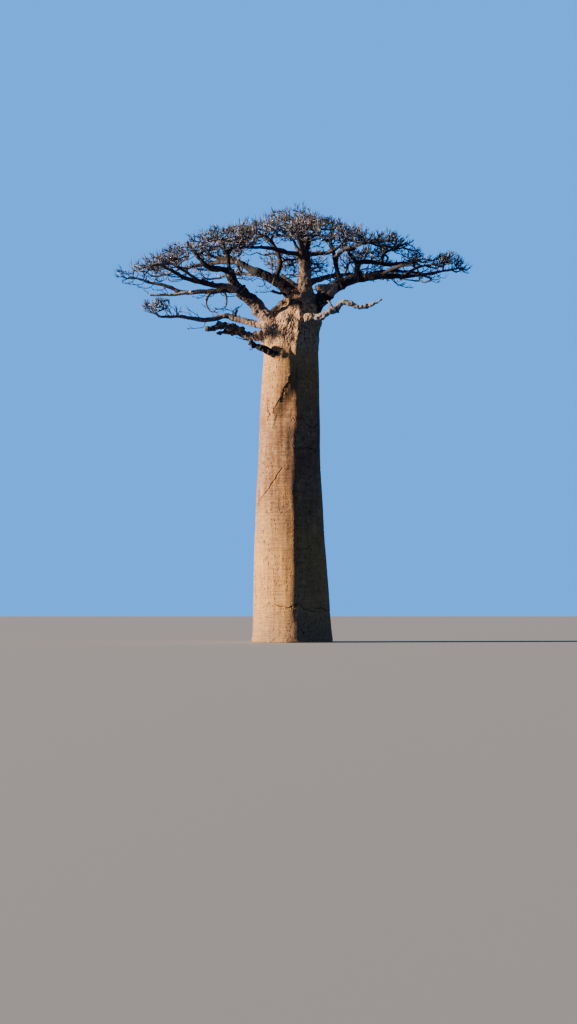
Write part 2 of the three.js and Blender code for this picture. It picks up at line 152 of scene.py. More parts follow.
# Lines of the boughs: each leaves its foot, or a share of the bough that it grows on, and climbs in legs of
# equal length the way of its heading, with turns to its left. A taper above 1 thins it faster near its foot.
# All are crooked, as a baobab's limbs are. Their trunk-like bark fades, some are dead in part, and
# some are darkened by painted shade, most where the crown shades them.
BOUGHS = {
    "left_bough": dict(foot=(-1.0, -0.85, 17.85), heading=198, climbs=(53, 49, 41, 38, 57),
                       turns=(-20, -12, 0, 12, 20), length=4.2, thick=0.92, thin=0.54,
                       dark=0, bark_fades=2.2),
    "left_arm": dict(on=("left_bough", 1), heading=200, climbs=(10, 5, 38, 55, 45), length=3.1,
                     thick=0.34, thin=0.18, into="left_arm_twigs", dark=0.6),
    "left_riser": dict(on=("left_bough", 1), heading=254, climbs=(80, 30, 8, 0),
                       length=3.4, thick=0.22, thin=0.12, into="front_left_twigs"),
    "left_low_arm": dict(on=("left_bough", 0.68), heading=172, climbs=(2, -2, 0, 22, 14, 16),
                         length=6.6, thick=0.36, thin=0.1, taper=0.7, into="left_tip_twigs", dark=0.6),
    "left_middle_arm": dict(on=("left_bough", 0.76), heading=195, climbs=(2, 6, 12, 26, 20),
                            length=5.0, thick=0.38, thin=0.13, taper=0.8, into="left_middle_twigs",
                            bark_fades=1.2),
    "left_broken_limb": dict(on=("left_low_arm", 0.42), heading=188, climbs=(-10, -4, 0),
                             length=2.5, thick=0.2, thin=0.15, dead=1),
    "lower_left_bough": dict(foot=(-1.35, -0.75, 17.95), heading=188, climbs=(15, 12, -10, 4, -3),
                             turns=(-22, -14, 6, 14, 16), length=6.4, thick=0.48, thin=0.14,
                             into="lower_left_twigs", dead=0.2, bark_fades=3.4),
    "dead_left_limb": dict(foot=(-1.2, -0.75, 17.35), heading=190, climbs=(2, 8, 22, 24, 20, -24, -8),
                           turns=(-30, -28, -22, -14, -6, 4, 10), length=4.0, thick=0.58, thin=0.28,
                           dead=0.1, gnarled=3.0, bark_fades=2.0),
    "low_left_stub": dict(foot=(-0.55, -1.3, 16.2), heading=192, climbs=(10, 22, 24),
                          length=2.0, thick=0.54, thin=0.3, gnarled=2.0, dark=0.5),
    "centre_left_bough": dict(foot=(0.5, 0, 19.3), heading=168, climbs=(52, 32, 27, 30, 14, 28),
                              turns=(14, 14, 6, -6, -12, -16), length=7.1, thick=0.96, thin=0.16,
                              taper=1.5, into="left_top_twigs", dark=0.75),
    "arch_riser": dict(on=("centre_left_bough", 0.3), heading=180, climbs=(112, 84, 66, 40),
                       length=3.0, thick=0.34, thin=0.2, into="upper_left_twigs", dark=0.4),
    "centre_column": dict(foot=(0.82, -0.4, 19.1), heading=180, climbs=(90, 86, 84),
                          length=3.1, thick=0.94, thin=0.64),
    "column_left_arm": dict(on=("centre_column", 0.98), heading=198, climbs=(2, 9, 2, 0),
                            length=3.6, thick=0.3, thin=0.15, into="inner_left_twigs"),
    "column_top_arm": dict(on=("centre_column", 0.98), heading=350, climbs=(75, 88),
                           length=1.5, thick=0.36, thin=0.22, into="top_twigs"),
    "column_right_arm": dict(on=("centre_column", 0.97), heading=352, climbs=(4, 7, 30),
                             length=2.4, thick=0.3, thin=0.17, into="upper_right_twigs"),
    "right_bough": dict(foot=(0.95, -0.15, 18.95), heading=352, climbs=(42, 35, 20, 4, -2, -1, 10, 8),
                        length=9.2, thick=1.08, thin=0.13, taper=1.75, into="right_tip_twigs", dark=0.6),
    "right_riser": dict(on=("right_bough", 0.26), heading=180, climbs=(79, 79, 73),
                        length=2.6, thick=0.34, thin=0.2, into="upper_right_twigs", dark=0.7),
    "right_upper_arm": dict(on=("right_bough", 0.37), heading=10, climbs=(80, 5, -4, 8, -2),
                            length=4.4, thick=0.34, thin=0.14, into="right_outer_twigs", dark=0.7),
    "right_fork_arm": dict(on=("right_bough", 0.65), heading=345, climbs=(28, 8),
                           length=1.9, thick=0.2, thin=0.13, into="right_outer_twigs"),
    "right_high_arm": dict(on=("right_upper_arm", 0.48), heading=20, climbs=(60, 28, 26),
                           length=2.2, thick=0.22, thin=0.12, into="right_high_twigs"),
    "right_top_arm": dict(on=("right_upper_arm", 0.17), heading=160, climbs=(60, 52, 70),
                          length=1.6, thick=0.26, thin=0.16, into="right_shoulder_twigs"),
    "dead_right_limb": dict(foot=(0.8, -1.3, 18.3), heading=345,
                            climbs=(4, -4, 36, 20, 48, -10, -28, 0, 16, 28), length=4.8, thick=0.46,
                            thin=0.15, taper=0.85, dead=0.75, gnarled=2.6, bark_fades=1.0),
    "back_bough": dict(foot=(0.6, 0.75, 18.3), heading=90, climbs=(66, 54, 38, 32),
                       length=6.8, thick=1.1, thin=0.2, taper=1.6, into="back_twigs", dark=0.5),
    "back_left_arm": dict(on=("back_bough", 0.36), heading=140, climbs=(34, 20, 12, 10),
                          length=5.8, thick=0.46, thin=0.18, into="back_left_twigs"),
    "back_right_arm": dict(on=("back_bough", 0.4), heading=45, climbs=(30, 20, 12, 8),
                           length=5.2, thick=0.44, thin=0.18, into="back_right_twigs"),
    "back_top_arm": dict(on=("back_bough", 0.45), heading=88, climbs=(75, 66, 50),
                         length=2.4, thick=0.3, thin=0.18, into="top_back_twigs"),
    "left_back_arm": dict(on=("centre_left_bough", 0.64), heading=152, climbs=(4, 2, -2, -4),
                          length=4.0, thick=0.28, thin=0.16, into="left_back_twigs"),
    "right_back_arm": dict(on=("right_bough", 0.42), heading=40, climbs=(24, 12, 6, 4),
                           length=4.4, thick=0.3, thin=0.15, into="right_back_twigs"),
    "front_arm": dict(on=("centre_column", 0.94), heading=264, climbs=(14, 2, -6, -10),
                      length=6.0, thick=0.4, thin=0.18, into="front_twigs"),
    "front_top_arm": dict(on=("front_arm", 0.4), heading=285, climbs=(62, 50),
                          length=1.2, thick=0.24, thin=0.16, into="top_front_twigs"),
    "front_right_arm": dict(on=("right_riser", 0.6), heading=295, climbs=(14, -2, -6, -6),
                            length=4.2, thick=0.28, thin=0.16, into="front_right_twigs"),
    "left_front_arm": dict(on=("left_middle_arm", 0.45), heading=245, climbs=(12, 6, 2),
                           length=2.6, thick=0.22, thin=0.14, into="left_front_twigs"),
    "right_front_arm": dict(on=("right_bough", 0.52), heading=302, climbs=(10, 0, -4),
                            length=3.6, thick=0.24, thin=0.14, into="right_front_twigs"),
}
LINE_SPACING = 0.1  # metres between two points of a line
CURVE_STEPS = 16  # to each leg, before the line is divided evenly
COLLAR = 0.22  # a foot is this share thicker where the bough leaves what carries it
COLLAR_LENGTH = 0.12
CROOKED = 0.3  # sideways wander, as a share of the bough's radius
CROOKED_LEAST = 0.03
CROOKED_LENGTH = 0.8  # metres between two bends
CROOKED_FROM = 0.6  # metres from the foot to the full bends
CROOKED_SEED = 4
CROOKED_APART = 7.3  # noise lengths between two boughs
LUMPY = 0.14  # swelling and pinching along a bough, as a share of its radius
LUMPY_LENGTH = 0.35
LUMPY_APART = 3.7


def way(climb, heading):
    """The direction of a climb and a heading, both in degrees."""
    up, turn = math.radians(climb), math.radians(heading)
    return np.array([math.cos(up) * math.cos(turn), math.cos(up) * math.sin(turn), math.sin(up)])


def smooth_line(corners, spacing):
    """Evenly spaced points on a smooth curve through the corners."""
    ends = [2 * corners[0] - corners[1], *corners, 2 * corners[-1] - corners[-2]]
    points = []
    for before, start, stop, after in zip(ends, ends[1:], ends[2:], ends[3:]):
        for t in np.linspace(0, 1, CURVE_STEPS, endpoint=False):
            points.append(0.5 * (
                2 * start + (stop - before) * t + (2 * before - 5 * start + 4 * stop - after) * t ** 2
                + (3 * start - before - 3 * stop + after) * t ** 3
            ))
    points = np.array([*points, corners[-1]])
    along = np.concatenate([[0], np.cumsum(np.linalg.norm(np.diff(points, axis=0), axis=1))])
    even = np.linspace(0, along[-1], max(3, round(along[-1] / spacing) + 1))
    return np.column_stack([np.interp(even, along, points[:, axis]) for axis in range(3)])


def legs_line(start, heading, climbs, length, turns=None):
    """The line of a limb that climbs in equal legs from its start, each turned from its heading."""
    corners = [np.array(start, float)]
    for climb, turn in zip(climbs, turns or [0] * len(climbs)):
        corners.append(corners[-1] + way(climb, heading + turn) * length / len(climbs))
    return smooth_line(corners, LINE_SPACING)


def place_on(line, share):
    """The place at a share of a line."""
    spot = share * (len(line) - 1)
    low = min(int(spot), len(line) - 2)
    return line[low] + (line[low + 1] - line[low]) * (spot - low)


def crooked(line, radii, seed, gnarled=1):
    """The line with small bends, none at its foot, and its radii with lumps."""
    bent = line.copy()
    lumpy = radii.copy()
    for i, (point, radius) in enumerate(zip(line, radii)):
        fade = min(1, i * LINE_SPACING / CROOKED_FROM)
        drift = noise.noise_vector(Vector(point) / CROOKED_LENGTH + Vector((seed * CROOKED_APART, 0, 0)))
        bent[i] += np.array(drift) * fade * (CROOKED_LEAST + CROOKED * radius)
        lump = noise.noise(Vector(point) / LUMPY_LENGTH + Vector((0, seed * LUMPY_APART, 0)))
        lumpy[i] *= 1 + gnarled * LUMPY * lump
    return bent, lumpy


noise.seed_set(CROOKED_SEED)  # without it the bends differ from run to run
lines = {}  # each bough's points and radii
for seed, (name, bough) in enumerate(BOUGHS.items()):
    if "on" in bough:
        carrier, reached = bough["on"]
        start = place_on(lines[carrier][0], reached)
    else:
        start = bough["foot"]
    line = legs_line(start, bough["heading"], bough["climbs"], bough["length"], bough.get("turns"))
    share = np.linspace(0, 1, len(line))
    collar = 1 + COLLAR * np.maximum(0, 1 - share / COLLAR_LENGTH) ** 2
    fall = (1 - share) ** bough.get("taper", 1)
    radii = (bough["thin"] + (bough["thick"] - bough["thin"]) * fall) / 2 * collar
    lines[name] = crooked(line, radii, seed, bough.get("gnarled", 1))


# Trunk: one swollen stem of smooth pinkish bark over soft wood, from the flat cut at the ground to its head.
# The feet of the boughs swell out of it, so they are grown into the same skin. Rings, pits, cracks and folds
# are pressed into that skin afterwards.
FOOT_RADIUS = 2.22
NECK_RADIUS = 1.56
NECK_HEIGHT = 16.5
SHOULDER_HEIGHT = 18.2
FORK_HEIGHT = 19.5
HEAD_RADIUS = 0.85
HEAD_SHIFT = 0.65
CAP_HEIGHT = 0.45
CAP_SHARES = (0.35, 0.7, 0.9)  # of the head's radius, inwards from its rim
TRUNK_BOW = 0.19
FOOT_SHIFT = 0.05
ROOT_FLARE = 0.1
ROOT_FLARE_HEIGHT = 0.7
LOBE_DEPTH = 0.018
LOBES = ((3, 0.12, 1), (7, -0.2, 0.6))  # how many round the trunk, their twist, and their share of the depth
TRUNK_STEPS = 64
TRUNK_RINGS = 90
TRUNK_VOXEL = 0.08
TRUNK_SMOOTHING = 5
FEET_ON_TRUNK = {  # metres of each bough that are part of the trunk's skin
    "left_bough": 1.1, "lower_left_bough": 0.5, "dead_left_limb": 0.5, "low_left_stub": 0.7,
    "centre_left_bough": 1.0, "centre_column": 0.9, "right_bough": 1.1, "dead_right_limb": 0.5,
    "back_bough": 1.2,
}
FOOT_STANDS_PROUD = 0.02
FOOT_NARROWS = 0.12
SWELLINGS = (  # centre and half sizes of the shoulders under the boughs' feet
    ((-1.05, -0.75, 17.4), (0.6, 0.65, 0.9)),
    ((-0.7, -1.0, 16.5), (0.55, 0.5, 0.5)),
    ((0.1, -0.75, 18.6), (0.4, 0.5, 1.0)),
    ((0.95, -0.55, 18.5), (0.5, 0.55, 0.9)),
    ((0.5, 0.75, 18.3), (0.9, 0.75, 1.0)),
    ((1.45, -0.35, 18.1), (0.25, 0.3, 0.22)),
    ((0.46, -1.12, 19.1), (0.26, 0.26, 0.26)),
    ((0.47, -0.92, 18.5), (0.24, 0.68, 0.95)),
    ((0.38, -0.95, 17.45), (0.3, 0.72, 0.95)),
    ((0.24, -1.0, 16.5), (0.3, 0.64, 0.9)),
    ((-0.85, 0.25, 18.95), (0.38, 0.42, 0.36)),
    ((-0.45, 0.28, 19.3), (0.38, 0.42, 0.36)),
    ((-0.05, 0.3, 19.68), (0.38, 0.42, 0.36)),
)
KNOBS = 26  # small swellings scattered over the head
KNOB_SIZES = (0.1, 0.26)
KNOB_HEIGHTS = (16.6, 19.3)
KNOB_SUNK = 0.97
KNOB_TALLER = (1, 1.8)


def smoothstep(value, low, high):
    share = np.clip((value - low) / (high - low), 0, 1)
    return share * share * (3 - 2 * share)


def trunk_radius(height):
    taper = FOOT_RADIUS + (NECK_RADIUS - FOOT_RADIUS) * np.minimum(1, height / NECK_HEIGHT)
    flare = ROOT_FLARE * np.exp(-height / ROOT_FLARE_HEIGHT)
    closing = smoothstep(height, SHOULDER_HEIGHT, FORK_HEIGHT)
    return (taper + flare) * (1 - closing) + HEAD_RADIUS * closing


def trunk_centre(height):
    bow = FOOT_SHIFT - TRUNK_BOW * np.sin(np.pi * height / FORK_HEIGHT)
    return bow + HEAD_SHIFT * smoothstep(height, SHOULDER_HEIGHT, FORK_HEIGHT)


def add_ball(solids, centre, half_sizes, subdivisions):
    """Adds a stretched ball to a bmesh."""
    matrix = Matrix.Translation(centre) @ Matrix.Diagonal((*half_sizes, 1))
    bmesh.ops.create_icosphere(solids, subdivisions=subdivisions, radius=1, matrix=matrix)


def evaluated_mesh(thing):
    """The mesh of an object with its modifiers applied."""
    return bpy.data.meshes.new_from_object(thing.evaluated_get(bpy.context.evaluated_depsgraph_get()))


def smooth_shaded(mesh):
    mesh.polygons.foreach_set("use_smooth", np.ones(len(mesh.polygons), bool))


def add_limbs(into, limbs):
    """Adds a closed round tube along each line to a bmesh, by way of a bevelled curve."""
    curve = bpy.data.curves.new("limbs", "CURVE")
    curve.dimensions = "3D"
    curve.bevel_depth = 1
    curve.bevel_resolution = 3
    curve.use_fill_caps = True
    for line, radii in limbs:
        spline = curve.splines.new("POLY")
        spline.points.add(len(line) - 1)
        spline.points.foreach_set("co", np.column_stack([line, np.ones(len(line))]).ravel())
        spline.points.foreach_set("radius", radii)
    holder = in_scene("limbs", curve)
    round_limbs = evaluated_mesh(holder)
    into.from_mesh(round_limbs)
    bpy.data.objects.remove(holder)
    bpy.data.curves.remove(curve)
    bpy.data.meshes.remove(round_limbs)


def grown_skin(name, solids, voxel, smoothing):
    """One closed skin round the solids of a bmesh, with their meeting lines smoothed."""
    rough = bpy.data.meshes.new(name)
    solids.to_mesh(rough)
    solids.free()
    holder = in_scene(name, rough)
    remesh = holder.modifiers.new("grow together", "REMESH")
    remesh.mode = "VOXEL"
    remesh.voxel_size = voxel
    smooth = holder.modifiers.new("smooth", "SMOOTH")
    smooth.factor = 0.5
    smooth.iterations = smoothing
    skin = evaluated_mesh(holder)
    holder.modifiers.clear()
    holder.data = skin
    bpy.data.meshes.remove(rough)
    skin.name = name
    smooth_shaded(skin)
    return holder


stem = bmesh.new()
profile = [stem.verts.new((0, 0, 0))]
for height in np.linspace(0, FORK_HEIGHT, TRUNK_RINGS):
    profile.append(stem.verts.new((trunk_radius(height), 0, height)))
for share in CAP_SHARES:
    rise = CAP_HEIGHT * math.sin(math.acos(1 - share))
    profile.append(stem.verts.new((HEAD_RADIUS * (1 - share), 0, FORK_HEIGHT + rise)))
profile.append(stem.verts.new((0, 0, FORK_HEIGHT + CAP_HEIGHT)))
legs = [stem.edges.new(pair) for pair in zip(profile, profile[1:])]
bmesh.ops.spin(
    stem, geom=profile + legs, axis=(0, 0, 1), cent=(0, 0, 0), steps=TRUNK_STEPS, angle=math.tau,
    use_merge=True,
)
bmesh.ops.remove_doubles(stem, verts=stem.verts, dist=1e-4)
bmesh.ops.recalc_face_normals(stem, faces=stem.faces)
for vertex in stem.verts:
    turn = math.atan2(vertex.co.y, vertex.co.x)
    height = vertex.co.z
    lobes = sum(size * math.sin(count * turn + twist * height) for count, twist, size in LOBES)
    lobe = 1 + LOBE_DEPTH * lobes
    vertex.co.x = vertex.co.x * lobe + trunk_centre(min(height, FORK_HEIGHT))
    vertex.co.y *= lobe
for centre, half_sizes in SWELLINGS:
    add_ball(stem, centre, half_sizes, 3)
knob_seed = random.Random(5)
for _ in range(KNOBS):
    high = knob_seed.uniform(*KNOB_HEIGHTS)
    turn = knob_seed.uniform(-math.pi, math.pi)
    size = knob_seed.uniform(*KNOB_SIZES)
    out = trunk_radius(high) * KNOB_SUNK
    place = (trunk_centre(high) + out * math.sin(turn), -out * math.cos(turn), high)
    add_ball(stem, place, (size, size, size * knob_seed.uniform(*KNOB_TALLER)), 2)
feet = []
for name, reach in FEET_ON_TRUNK.items():
    line, radii = lines[name]
    count = round(reach / LINE_SPACING) + 1
    closing = np.linspace(0, 1, count) ** 2
    radii = radii[:count] * (1 - FOOT_NARROWS * closing) + FOOT_STANDS_PROUD * (1 - closing)
    feet.append((line[:count], radii))
add_limbs(stem, feet)
trunk_skin = grown_skin("trunk_skin", stem, TRUNK_VOXEL, TRUNK_SMOOTHING)

# Wrinkles at the feet of the boughs: bands of bark that gather across a limb where it leaves the trunk.
# They are pressed into the trunk's skin here, and into the boughs' own skins further on.
WRINKLED_REACH = 2.2  # metres from a bough's foot
WRINKLED_WIDTH = 2.0  # radii of the bough from its line
WRINKLED_EDGE = 0.6  # over which they fade, in radii too
WRINKLED_FULL = 1.3  # above 1, they stay strong for longer
UNWRINKLED = ("dead_right_limb", "low_left_stub", "back_bough")
WRINKLE_EVERY = 0.24
WRINKLE_BENDS = ((5, 0.3, 71.0), (1.6, 0.1, 73.0))  # each with its strength, its size and a shift
WRINKLE_PATCHES = (0.4, 79.0)
WRINKLE_PATCH_EDGES = (-0.35, 0.25)


def noise_at(places, size, shift):
    """Smooth noise from -1 to 1 at each place, with features of one size, or of one in x, y and z."""
    scaled = places / np.array(size) + shift
    return np.array([noise.noise(Vector(place)) for place in scaled])


def layered(places, layers):
    """Noise in layers, each with its strength, its size and a shift."""
    return sum(strength * noise_at(places, size, shift) for strength, size, shift in layers)


foot_points = []  # place on the bough's line, its direction, its radius, and how far it is from the foot
for name, bough in BOUGHS.items():
    if "foot" in bough and name not in UNWRINKLED:
        line, radii = lines[name]
        ahead = np.gradient(line, axis=0)
        for i in range(min(len(line), round(WRINKLED_REACH / LINE_SPACING))):
            foot_points.append((line[i], ahead[i] / np.linalg.norm(ahead[i]), radii[i], i * LINE_SPACING))


def tree_of(points):
    """A search tree of rows that begin with a place."""
    tree = kdtree.KDTree(len(points))
    for i, (point, *_) in enumerate(points):
        tree.insert(point, i)
    tree.balance()
    return tree


foot_tree = tree_of(foot_points)


def foot_wrinkles(places):
    """The wave of the wrinkles at each place, and how strong they are."""
    wave, strength = np.zeros(len(places)), np.zeros(len(places))
    bend = layered(places, WRINKLE_BENDS)
    patchy = smoothstep(noise_at(places, *WRINKLE_PATCHES), *WRINKLE_PATCH_EDGES)
    for i, place in enumerate(places):
        _, nearest, gap = foot_tree.find(place)
        point, ahead, radius, along = foot_points[nearest]
        reach = along + float(np.dot(place - point, ahead))
        near = max(0.0, min(1.0, (WRINKLED_WIDTH - gap / radius) / WRINKLED_EDGE))
        strength[i] = near * patchy[i] * max(0.0, min(1.0, WRINKLED_FULL * (1 - reach / WRINKLED_REACH)))
        wave[i] = math.sin(math.tau * reach / WRINKLE_EVERY + bend[i])
    return wave, strength


# Cracks in the trunk's bark: jagged splits, each along its own path over the bark, as the photo shows them.
# The skin is divided more finely beside them and on the rough head, so that they are cut into its shape.
CRACKS = (  # angle round the trunk from the front, in degrees, and height, with each crack's width and depth
    (((-10.6, 9.79), (-23.2, 9.18), (-39.1, 8.53), (-53.8, 8.16), (-73.4, 7.92)), 0.022, 0.04),
    (((1.6, 15.07), (-2.0, 14.61), (-11.6, 14.27), (-17.1, 13.82), (-26.9, 13.27), (-28.6, 12.93)),
     0.02, 0.035),
    (((-21.8, 2.03), (6.8, 1.97), (32.1, 1.86), (79.5, 1.76), (112, 1.8)), 0.028, 0.05),
    (((8, 5.3), (20, 5.26), (34, 5.3)), 0.02, 0.02),
    (((128, 12.1), (140, 11.2), (151, 10.7), (158, 9.6)), 0.03, 0.05),
    (((-150, 6.9), (-162, 6.1), (-171, 5.9)), 0.026, 0.04),
    (((60, 15.4), (74, 14.9), (82, 14.0), (97, 13.6)), 0.026, 0.04),
    (((-52, 14.0), (-46, 13.5), (-42, 12.9), (-44, 12.6)), 0.02, 0.03),
    (((8, 12.6), (24, 12.45), (38, 12.1), (60, 12.2)), 0.022, 0.035),
    (((6, 11.0), (30, 10.9), (58, 10.95), (80, 10.8)), 0.02, 0.03),
)
JAGS = ((0.14, 0.24, 29.0), (0.22, 0.7, 31.0), (0.08, 0.07, 33.0))  # metres aside, their size and a shift
AROUND = 1.85  # metres of bark to each radian round the trunk
CRACK_ZONE = 0.1  # the skin is made finer this near to a crack
CRACK_CUTS = 2
ROUGH_FROM = 16.2  # and above this height
ROUGH_ROUNDING = 0.8


def distance_to_path(across, up, path):
    """Distance from each point of a plane to the nearest leg of a path."""
    nearest = np.full(len(across), np.inf)
    for (x0, y0), (x1, y1) in zip(path, path[1:]):
        length = (x1 - x0) ** 2 + (y1 - y0) ** 2
        share = np.clip(((across - x0) * (x1 - x0) + (up - y0) * (y1 - y0)) / length, 0, 1)
        nearest = np.minimum(nearest, np.hypot(across - x0 - share * (x1 - x0), up - y0 - share * (y1 - y0)))
    return nearest


def turn_and_jag(places):
    """The angle of each place round the trunk, and how far the cracks swerve from their paths there."""
    turn = np.arctan2(places[:, 0] - trunk_centre(np.minimum(places[:, 2], FORK_HEIGHT)), -places[:, 1])
    return turn, layered(places, JAGS)


def crack_gaps(places):
    """For each crack, the distance along the bark from each place to its jagged line."""
    height = places[:, 2]
    turn, jag = turn_and_jag(places)
    gaps = []
    for path, _, _ in CRACKS:
        first = math.radians(path[0][0])
        angle = (turn - first + math.pi) % math.tau - math.pi + first
        around = [(math.radians(degrees) * AROUND, high) for degrees, high in path]
        gaps.append(distance_to_path(angle * AROUND + jag, height + jag, around))
    return gaps


finer = bmesh.new()
finer.from_mesh(trunk_skin.data)
rough_part = [edge for edge in finer.edges if min(v.co.z for v in edge.verts) > ROUGH_FROM]
bmesh.ops.subdivide_edges(finer, edges=rough_part, cuts=1, smooth=ROUGH_ROUNDING, use_grid_fill=True)
for _ in range(CRACK_CUTS):
    finer.verts.ensure_lookup_table()
    gaps = np.min(crack_gaps(np.array([vertex.co for vertex in finer.verts])), axis=0)
    near = [edge for edge in finer.edges if min(gaps[v.index] for v in edge.verts) < CRACK_ZONE]
    bmesh.ops.subdivide_edges(finer, edges=near, cuts=1, use_grid_fill=True)
    finer.verts.index_update()
finer.to_mesh(trunk_skin.data)
finer.free()
smooth_shaded(trunk_skin.data)

# Relief of the trunk's bark: long swells, flutes and thin rings below, and humps, folds, furrows and scars
# on the head. Beside the upper crack a plate of bark has come off, which leaves a sunk patch darkened with
# painted shade. Grooves, furrows, scars, wrinkle troughs and cracks are darkened with painted shade too.
# Each pattern has a size in metres, in x, y and z, and a shift. The depths are in metres too.
HEAD_HEIGHTS = (16.0, 17.4)  # between them the smooth bark turns rough
EVEN_FOOT = (0.1, 0.6)  # the relief fades out towards the flat cut
FLAT_CUT = 0.04
RIBS = ((0.9, 0.9, 7.0), 0.0)
RIB_DEPTH = 0.03
SWELLS = ((1.3, 1.3, 2.2), 5.0)
SWELL_DEPTH = 0.035
FLUTES = ((0.18, 0.18, 3.0), 61.0)
FLUTE_DEPTH = 0.026
RINGS = ((2.6, 2.6, 0.32), 11.0)
RING_DEPTH = 0.014
RING_WIDTH = 0.07  # widths of grooves are in units of their noise
HUMPS = ((0.42, 0.42, 0.55), 3.0)
HUMP_DEPTH = 0.05
FOLDS = ((0.75, 0.75, 0.3), 17.0)
FOLD_DEPTH = 0.045
FURROWS = ((0.2, 0.2, 0.6), 41.0)
FURROW_DEPTH = 0.03
FURROW_WIDTH = 0.1
SCARS = ((0.1, 0.1, 0.24), 53.0)
SCAR_DEPTH = 0.03
SCAR_WIDTH = 0.16
WRINKLE_DEPTH = 0.02
GOUGES_LEAN = np.array([[1, 0, 0.35], [0, 1, 0.1], [-0.45, 0, 1]])
FOLDS_LEAN = np.array([[1, 0, 0.5], [0, 1, 0.2], [-0.9, 0, 1]])
# Painted shade: how dark the colour is made in the ring grooves, furrows, scars and wrinkle troughs.
RING_SHADE = 0.3  # how dark each groove is
FURROW_SHADE = 0.5
SCAR_SHADE = 0.6
WRINKLE_SHADE = 0.5
WRINKLE_SHADE_EDGES = (0.6, 1)
FLAKE_EDGE = 1  # the crack beside which the bark has come off, to its right
FLAKE_EDGE_DEGREES = (-0.5, 1.5)  # round the trunk, past the crack
FLAKE_DEPTH = 0.09
FLAKE_RISE = 0.3  # the larger, the deeper it is right at the crack
FLAKE_DEEPEST = 0.7  # metres right of the crack
FLAKE_WIDTH = 1.8
FLAKE_HEIGHTS = (11.4, 13.0)  # it fades in from below
# Painted shade over the sunk patch right of the crack, darkest near it and streaked with the flutes.
FLAKE_PAINTED_SHADE = 0.66
FLAKE_SHADE_EVEN = 0.85
FLAKE_SHADE_STREAKS = 0.3
FLAKE_SHADE_CORE = 0.4
FLAKE_SHADE_WIDTH = 1.5


def places_and_normals(mesh):
    places = np.zeros(len(mesh.vertices) * 3)
    mesh.vertices.foreach_get("co", places)
    normals = np.zeros(len(mesh.vertices) * 3)
    mesh.vertex_normals.foreach_get("vector", normals)
    return places.reshape(-1, 3), normals.reshape(-1, 3)


def set_attribute(mesh, name, values):
    attribute = mesh.attributes.new(name, "FLOAT", "POINT")
    attribute.data.foreach_set("value", np.asarray(values, np.float32))


def grooves(values, width):
    """1 along the lines where noise crosses zero, and 0 beside them."""
    return np.maximum(0, 1 - np.abs(values) / width)


def fading(distance, near, far):
    """1 up to the near distance, and 0 from the far one on."""
    return smoothstep(-distance, -far, -near)


places, normals = places_and_normals(trunk_skin.data)
height = places[:, 2]
head = smoothstep(height, *HEAD_HEIGHTS)
leaning = places @ GOUGES_LEAN
flutes = noise_at(places, *FLUTES)
ring_grooves = grooves(noise_at(places, *RINGS), RING_WIDTH)
furrows = grooves(noise_at(leaning, *FURROWS), FURROW_WIDTH)
scars = grooves(noise_at(leaning, *SCARS), SCAR_WIDTH)
relief = RIB_DEPTH * noise_at(places, *RIBS) + SWELL_DEPTH * noise_at(places, *SWELLS)
relief += (FLUTE_DEPTH * flutes - RING_DEPTH * ring_grooves) * (1 - head)
on_head = HUMP_DEPTH * noise_at(places, *HUMPS)
on_head += FOLD_DEPTH * noise_at(places @ FOLDS_LEAN, *FOLDS)
relief += head * (on_head - FURROW_DEPTH * furrows - SCAR_DEPTH * scars)
# Painted shade in the ring grooves below, and in the furrows and scars of the head.
crevice_shade = RING_SHADE * ring_grooves * (1 - head) + head * (FURROW_SHADE * furrows + SCAR_SHADE * scars)
wave, wrinkled = foot_wrinkles(places)
relief += WRINKLE_DEPTH * wave * wrinkled
# Painted shade in the troughs of the wrinkles.
crevice_shade = np.maximum(crevice_shade, WRINKLE_SHADE * wrinkled * smoothstep(-wave, *WRINKLE_SHADE_EDGES))
gaps = crack_gaps(places)
turn, jag = turn_and_jag(places)
edge = np.array(sorted((high, degrees) for degrees, high in CRACKS[FLAKE_EDGE][0]))
past_edge = np.degrees(turn + jag / AROUND) - np.interp(height + jag, edge[:, 0], edge[:, 1])
from_edge = gaps[FLAKE_EDGE]
bare = smoothstep(past_edge, *FLAKE_EDGE_DEGREES) * smoothstep(height, *FLAKE_HEIGHTS)
sunk = smoothstep(from_edge, -FLAKE_RISE, FLAKE_DEEPEST) * fading(from_edge, FLAKE_DEEPEST, FLAKE_WIDTH)
relief -= FLAKE_DEPTH * bare * sunk
# Painted shade over the sunk patch, darkest near the crack.
flake_shade = bare * fading(from_edge, FLAKE_SHADE_CORE, FLAKE_SHADE_WIDTH)
crevice_shade = np.maximum(crevice_shade, FLAKE_PAINTED_SHADE * flake_shade * (FLAKE_SHADE_EVEN + FLAKE_SHADE_STREAKS * flutes))
# Each crack is cut in, and painted shade darkens it.
for gap, (_, width, depth) in zip(gaps, CRACKS):
    cut = np.exp(-(gap / width) ** 2)
    relief -= depth * cut
    crevice_shade = np.maximum(crevice_shade, cut)
places += normals * (relief * smoothstep(height, *EVEN_FOOT))[:, None]
places[:, 2] = np.where(places[:, 2] < FLAT_CUT, 0, places[:, 2])
trunk_skin.data.vertices.foreach_set("co", places.ravel())

